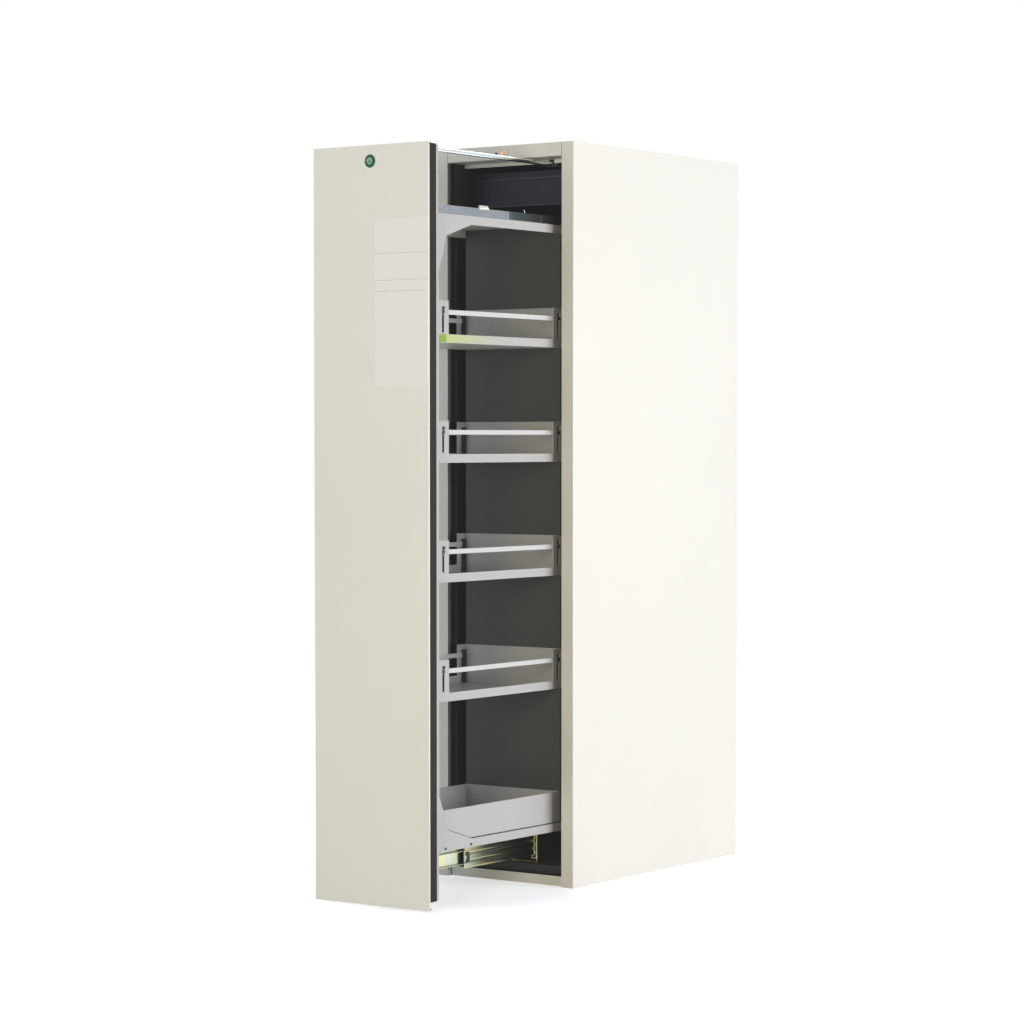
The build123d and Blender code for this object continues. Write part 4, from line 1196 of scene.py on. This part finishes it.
    def _rail_shade_plates(self) -> None:
        """Add dark plates on the rear of the top rails, each with a thin stop strip. The plates and their
        fade from a teal edge into near black are painted shade and painted dark reflection where the rails
        run into the cabinet.
        """
        low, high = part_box("top_rail_right")
        front, stop = low.y + self.shade_plate_start, low.y + self.stop_start
        height = (low.z + self.shade_plate_margin, high.z)
        plates = bmesh.new()
        add_pair(plates, (high.x, high.x + self.shade_plate_thick), (front, high.y), height, self.shade_plate_radius)
        # The fade along y is painted shade and painted reflection of the cabinet's dark inside.
        finish = FadeFinish(front, front + self.shade_plate_fade, self.shade_plate_edge_share, RAIL_SHADE_EDGE, RAIL_SHADE_TEAL,
                            RAIL_SHADE_DARK, gloss=self.shade_plate_gloss)
        self.workshop.piece("rail_shade_plates", plates, Body.DRAWER, Slot.BLACK, finish, finish_name="rail_painted_shade")
        strips = bmesh.new()
        add_pair(strips, (high.x, high.x + self.stop_thick), (stop, stop + self.stop_width), height,
                 self.stop_radius)
        self.workshop.piece("rail_stop_strips", strips, Body.DRAWER, Slot.GALVANISED, STOP_STEEL,
                            finish_name="rail_stop")

    def _beam_screws(self) -> None:
        """Set out the screws that hold the floor beam to the column."""
        low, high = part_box("bottom_beam")
        level = low.z + self.beam_screw_rise
        places = [((side * high.x, low.y + depth, level), side_facing(side))
                  for side in SIDES for depth in self.beam_screws]
        self.fasteners.set_out("beam_screws", PAN_SCREW, places, Body.DRAWER, Slot.BLACK)

    def _rivets(self, shelves: Sequence[str]) -> None:
        """Set out the rivets that hold the shelves' end plates to the frame.

        Args:
            shelves: The shelves.
        """
        places = []
        for shelf in shelves:
            low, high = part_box(shelf)
            for side in SIDES:
                for y in (low.y + self.rivet_inset, high.y - self.rivet_inset):
                    for rise in self.rivet_levels:
                        places.append(((side * high.x, y, low.z + rise), side_facing(side)))
        self.fasteners.set_out("shelf_rivets", RIVET, places, Body.DRAWER, Slot.RAIL)

    def _strip(self, shelf: str) -> None:
        """Add the plain coloured strip on a shelf's right lip.

        Args:
            shelf: The shelf.
        """
        low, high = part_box(shelf)
        start, end = (low.y + depth for depth in self.strip_run)
        inner, outer = (high.x + reach for reach in self.strip_across)
        foot, top = (low.z + rise for rise in self.strip_rise)
        shape = bmesh.new()
        add_block(shape, (inner, start, foot), (outer, end, top), self.strip_radius)
        finish = FadeFinish(start, end, self.strip_block, STRIP_GREEN, STRIP_PALE, DRAWER_GREY)
        self.workshop.piece("shelf_strip", shape, Body.DRAWER, Slot.LABEL, finish, finish_name="shelf_strip")

    def _tray_and_corner_shade(self) -> None:
        """Add dark strips along the foot of the sump tray and grey ones along the floor beam's corner plates,
        painted shade in the gaps between the tray and the beam.
        """
        low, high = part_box("bottom_tray")
        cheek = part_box("bottom_beam")[1].x
        shape = bmesh.new()
        add_pair(shape, (high.x, cheek - self.tray_shade_room), (low.y + self.tray_shade_start, high.y),
                 (low.z, low.z + self.tray_shade_height), self.tray_shade_radius)
        self.workshop.piece("tray_shade_strips", shape, Body.DRAWER, Slot.RUBBER)
        # Grey strips along the corner plates' edges: painted shade in the gap.
        (y0, z0), (y1, z1) = self.corner_edge
        section = ((y0, z0), (y1, z1), (y1, z1 + self.corner_shade_line), (y0, z0 + self.corner_shade_line))
        shape = bmesh.new()
        for side in SIDES:
            ends = (side * high.x, side * (cheek - self.corner_room))
            add_loft(shape, [[(x, y, z) for y, z in section] for x in ends])
        self.workshop.piece("corner_shade_strips", shape, Body.DRAWER, Slot.RUBBER, CORNER_SHADE_GREY,
                            finish_name="corner_shade_line")

    def _clip(self) -> None:
        """Add the small ribbed clip on the right top rail."""
        low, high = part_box("top_rail_right")
        start, end = (low.y + depth for depth in self.clip_run)
        blocks = [(self.clip_across, start, end, self.clip_height)]
        for rib in range(self.rib_count):
            y = start + self.rib_start + rib * self.rib_pitch
            blocks.append((self.rib_across, y, y + self.rib_width, self.rib_height))
        shape = bmesh.new()
        for across, front, rear, height in blocks:
            add_block(shape, (high.x + across[0], front, high.z + height[0]),
                      (high.x + across[1], rear, high.z + height[1]), self.clip_radius)
        self.workshop.piece("rail_clip", shape, Body.DRAWER, Slot.LABEL)

    def _hook(self) -> None:
        """Add the bent wire hook on the right top rail."""
        low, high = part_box("top_rail_right")
        x, y = high.x - self.hook_inset, low.y + self.hook_start
        curve = bpy.data.curves.new("rail_hook", "CURVE")
        curve.dimensions = "3D"
        curve.bevel_depth = self.hook_wire
        curve.bevel_resolution = 3
        curve.use_fill_caps = True
        spline = curve.splines.new("NURBS")
        spline.points.add(len(self.hook_path) - 1)
        for point, (run, rise) in zip(spline.points, self.hook_path):
            point.co = (x, y - run * MM, high.z + rise * MM, 1.0)
        spline.order_u = 3
        spline.use_endpoint_u = True
        mesh = plain_mesh(put("rail_hook_path", curve))
        mesh.materials.clear()
        mesh.materials.append(self.workshop.palette.slots[Slot.GALVANISED])
        self.workshop.seat("rail_hook", mesh, Body.DRAWER.value, Slot.GALVANISED)


@dataclass
class Runners(Assembly):
    """The telescopic slides, their brackets and the drawer's carrier."""

    sheet_radius: float = 0.5 * MM
    buffer_radius: float = 2.0 * MM
    bolt_steps: int = 4
    bolt_offset: float = 20.0 * MM
    bolt_rise: float = 2.0 * MM
    bead_shares: tuple[float, ...] = (0.12, 0.50, 0.88)
    bead_half_share: float = 0.15
    bead_and_highlight_depth: float = 2.0 * MM
    web: float = 1.6 * MM
    profile_steps: int = 60

    def build(self) -> None:
        """Build and dress the slides."""
        self.workshop.soften(self.sheet_radius, "slide_outers", "slide_inners", "slide_carrier")
        gold = self.workshop.palette.extra("bracket_zinc", BRACKET_GOLD)
        self.workshop.soften(self.sheet_radius, "slide_bracket_left", "slide_bracket_right", material=gold)
        for side, name in zip(SIDES, SIDE_NAMES):
            self._middle_member(f"slide_middle_{name}", side)
        self.workshop.repaint("outer_ball_cages", "inner_ball_cages")
        self.workshop.soften(self.sheet_radius, "slide_end_stops")
        self.workshop.soften(self.buffer_radius, "slide_buffer")
        self._floor_bolts()

    def _middle_member(self, node: str, side: int) -> None:
        """Build one middle member with its rolled beads.

        Args:
            node: The node that it stands for.
            side: -1 on the left and +1 on the right.
        """
        low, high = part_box(node)
        innermost, outermost = sorted((abs(low.x), abs(high.x)))
        outer = []
        for step in range(self.profile_steps + 1):
            share = step / self.profile_steps
            nearest = min(abs(share - centre) for centre in self.bead_shares)
            rise = math.sqrt(max(0.0, 1.0 - (nearest / self.bead_half_share) ** 2))
            outer.append((outermost - self.bead_and_highlight_depth * (1.0 - rise), low.z + (high.z - low.z) * share))
        face = outermost - self.bead_and_highlight_depth - self.web
        top, foot = high.z - self.web, low.z + self.web
        section = [*outer, (innermost, high.z), (innermost, top), (face, top), (face, foot),
                   (innermost, foot), (innermost, low.z)]
        shape = bmesh.new()
        add_prism(shape, [(side * x, z) for x, z in section], low.y, high.y)
        self.workshop.piece(f"{node}_rolled", shape, Body.MIDDLE, Slot.ZINC, replaced=[node])

    def _floor_bolts(self) -> None:
        """Set out the bolts that hold the brackets to the floor."""
        low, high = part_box("slide_bracket_right")
        level = low.z + self.bolt_rise
        places = [((side * self.bolt_offset, y, level), Facing.UP)
                  for side in SIDES for y in spread(low.y, high.y, self.bolt_steps)]
        self.fasteners.set_out("bracket_bolts", FLOOR_BOLT, places, Body.CABINET, Slot.ZINC)


@dataclass(frozen=True)
class Lamp:
    """A soft box that looks at the cabinet; azimuth runs from the front towards the right."""

    name: str
    azimuth: float
    rise: float
    distance: float
    width: float
    height: float
    power: float
    colour: Colour


LAMPS = (
    Lamp("key_light", 96.0, 5.0, 5.5, 4.0, 1.8, 285.0, (0.885, 0.912, 1.0)),
    Lamp("front_light", -12.0, 8.0, 6.0, 2.6, 3.6, 96.0, (0.77, 0.87, 1.0)),
    Lamp("camera_light", 18.0, 4.0, 7.0, 1.5, 1.5, 150.0, (1.0, 0.94, 0.81)),
    Lamp("back_light", 216.0, 24.0, 6.5, 3.0, 2.0, 130.0, (1.0, 0.98, 0.95)),
)


@dataclass
class Studio:
    """Pale floor, soft lights and the camera at the photograph's angle."""

    camera_place: Triple = (4.6953, -6.9823, 1.1824)
    azimuth: float = 35.31
    pitch: float = 2.46
    lens: float = 106.25
    sensor: float = 36.0
    sight: float = 200.0
    shift: Span = (-0.00496, 0.05726)
    floor_reach: float = 12.0
    floor_colour: Colour = (0.80, 0.82, 0.88)
    bounce_colour: Colour = (0.52, 0.49, 0.40)
    shade_centre: Triple = (0.05, -0.60, 0.0)
    shade_reach: Span = (0.22, 0.66)
    shade_glow: Span = (0.50, 0.90)
    lamp_aim: Triple = (0.0, -0.4, 1.0)
    white: Colour = (1.0, 1.0, 1.0)
    sky_warmth: Colour = (1.0, 0.94, 0.80)
    sky_mirrored: float = 0.80
    sky_diffuse: float = 0.15
    haze: float = -0.014

    def build(self) -> None:
        """Build the studio."""
        self._camera()
        self._floor()
        self._world()
        for lamp in LAMPS:
            self._lamp(lamp)
        self._tone()

    def _tone(self) -> None:
        """Keep plain colours, with the blacks lifted a little as by haze in the room."""
        view = bpy.context.scene.view_settings
        view.view_transform = "Standard"
        view.use_curve_mapping = True
        view.curve_mapping.black_level = (self.haze,) * 3
        view.curve_mapping.update()

    def _camera(self) -> None:
        """Place the camera."""
        data = bpy.data.cameras.new("camera")
        data.sensor_width = self.sensor
        data.lens = self.lens
        data.shift_x, data.shift_y = self.shift
        data.clip_end = self.sight
        camera = put("camera", data)
        camera.location = self.camera_place
        camera.rotation_euler = (math.radians(90.0 - self.pitch), 0.0, math.radians(self.azimuth))
        bpy.context.scene.camera = camera

    def _lamp(self, lamp: Lamp) -> None:
        """Hang one soft box.

        Args:
            lamp: Its place, size and light.
        """
        data = bpy.data.lights.new(lamp.name, "AREA")
        data.shape = "RECTANGLE"
        data.size, data.size_y = lamp.width, lamp.height
        data.energy = lamp.power
        data.color = lamp.colour
        turn, rise = math.radians(lamp.azimuth), math.radians(lamp.rise)
        away = Vector((math.sin(turn) * math.cos(rise), -math.cos(turn) * math.cos(rise), math.sin(rise)))
        light = put(lamp.name, data)
        light.location = Vector(self.lamp_aim) + away * lamp.distance
        light.rotation_mode = "QUATERNION"
        light.rotation_quaternion = (-away).to_track_quat("-Z", "Y")

    def _floor(self) -> None:
        """Lay the pale floor, with a painted shadow round the cabinet's foot where its glow is weaker."""
        material = bpy.data.materials.new("floor")
        desk = NodeDesk.cleared(material)
        soft = desk.add("ShaderNodeLightPath").outputs["Is Diffuse Ray"]
        offset = desk.add("ShaderNodeVectorMath", {0: desk.place(), 1: self.shade_centre},
                          operation="DISTANCE")
        # A weaker glow near the foot paints the contact shadow.
        level = desk.remap(offset.outputs["Value"], self.shade_reach, *self.shade_glow)
        matte = desk.add("ShaderNodeBsdfDiffuse", {"Color": rgba(self.floor_colour)})
        bounce = desk.add("ShaderNodeBsdfDiffuse", {"Color": rgba(self.bounce_colour)})
        glow = desk.add("ShaderNodeEmission", {"Color": rgba(self.white), "Strength": level})
        lifted = desk.add("ShaderNodeAddShader", {0: matte.outputs[0], 1: glow.outputs[0]})
        mixed = desk.add("ShaderNodeMixShader", {0: soft, 1: lifted.outputs[0], 2: bounce.outputs[0]})
        desk.add("ShaderNodeOutputMaterial", {"Surface": mixed.outputs[0]})
        shape = bmesh.new()
        bmesh.ops.create_grid(shape, x_segments=1, y_segments=1, size=self.floor_reach)
        put("floor", mesh_of("floor", shape, material))

    def _world(self) -> None:
        """Set a white surround that lights the object only faintly."""
        world = bpy.data.worlds.new("studio")
        bpy.context.scene.world = world
        desk = NodeDesk.cleared(world)
        path = desk.add("ShaderNodeLightPath").outputs
        unseen = desk.remap(path["Is Diffuse Ray"], low=self.sky_mirrored, high=self.sky_diffuse)
        level = desk.remap(path["Is Camera Ray"], low=unseen)
        tint = desk.blend(path["Is Diffuse Ray"], rgba(self.white), rgba(self.sky_warmth))
        sky = desk.add("ShaderNodeBackground", {"Color": tint, "Strength": level})
        desk.add("ShaderNodeOutputWorld", {"Surface": sky.outputs[0]})


def main() -> None:
    """Build the cabinet's looks and the studio in order."""
    logging.basicConfig(level=logging.INFO, format="%(message)s")
    workshop = Workshop(Palette())
    fasteners = FastenerKit(workshop)
    for assembly in (Casing, Door, Drawer, Runners):
        assembly(workshop, fasteners).build()
    Studio().build()


if __name__ == "__main__":
    main()
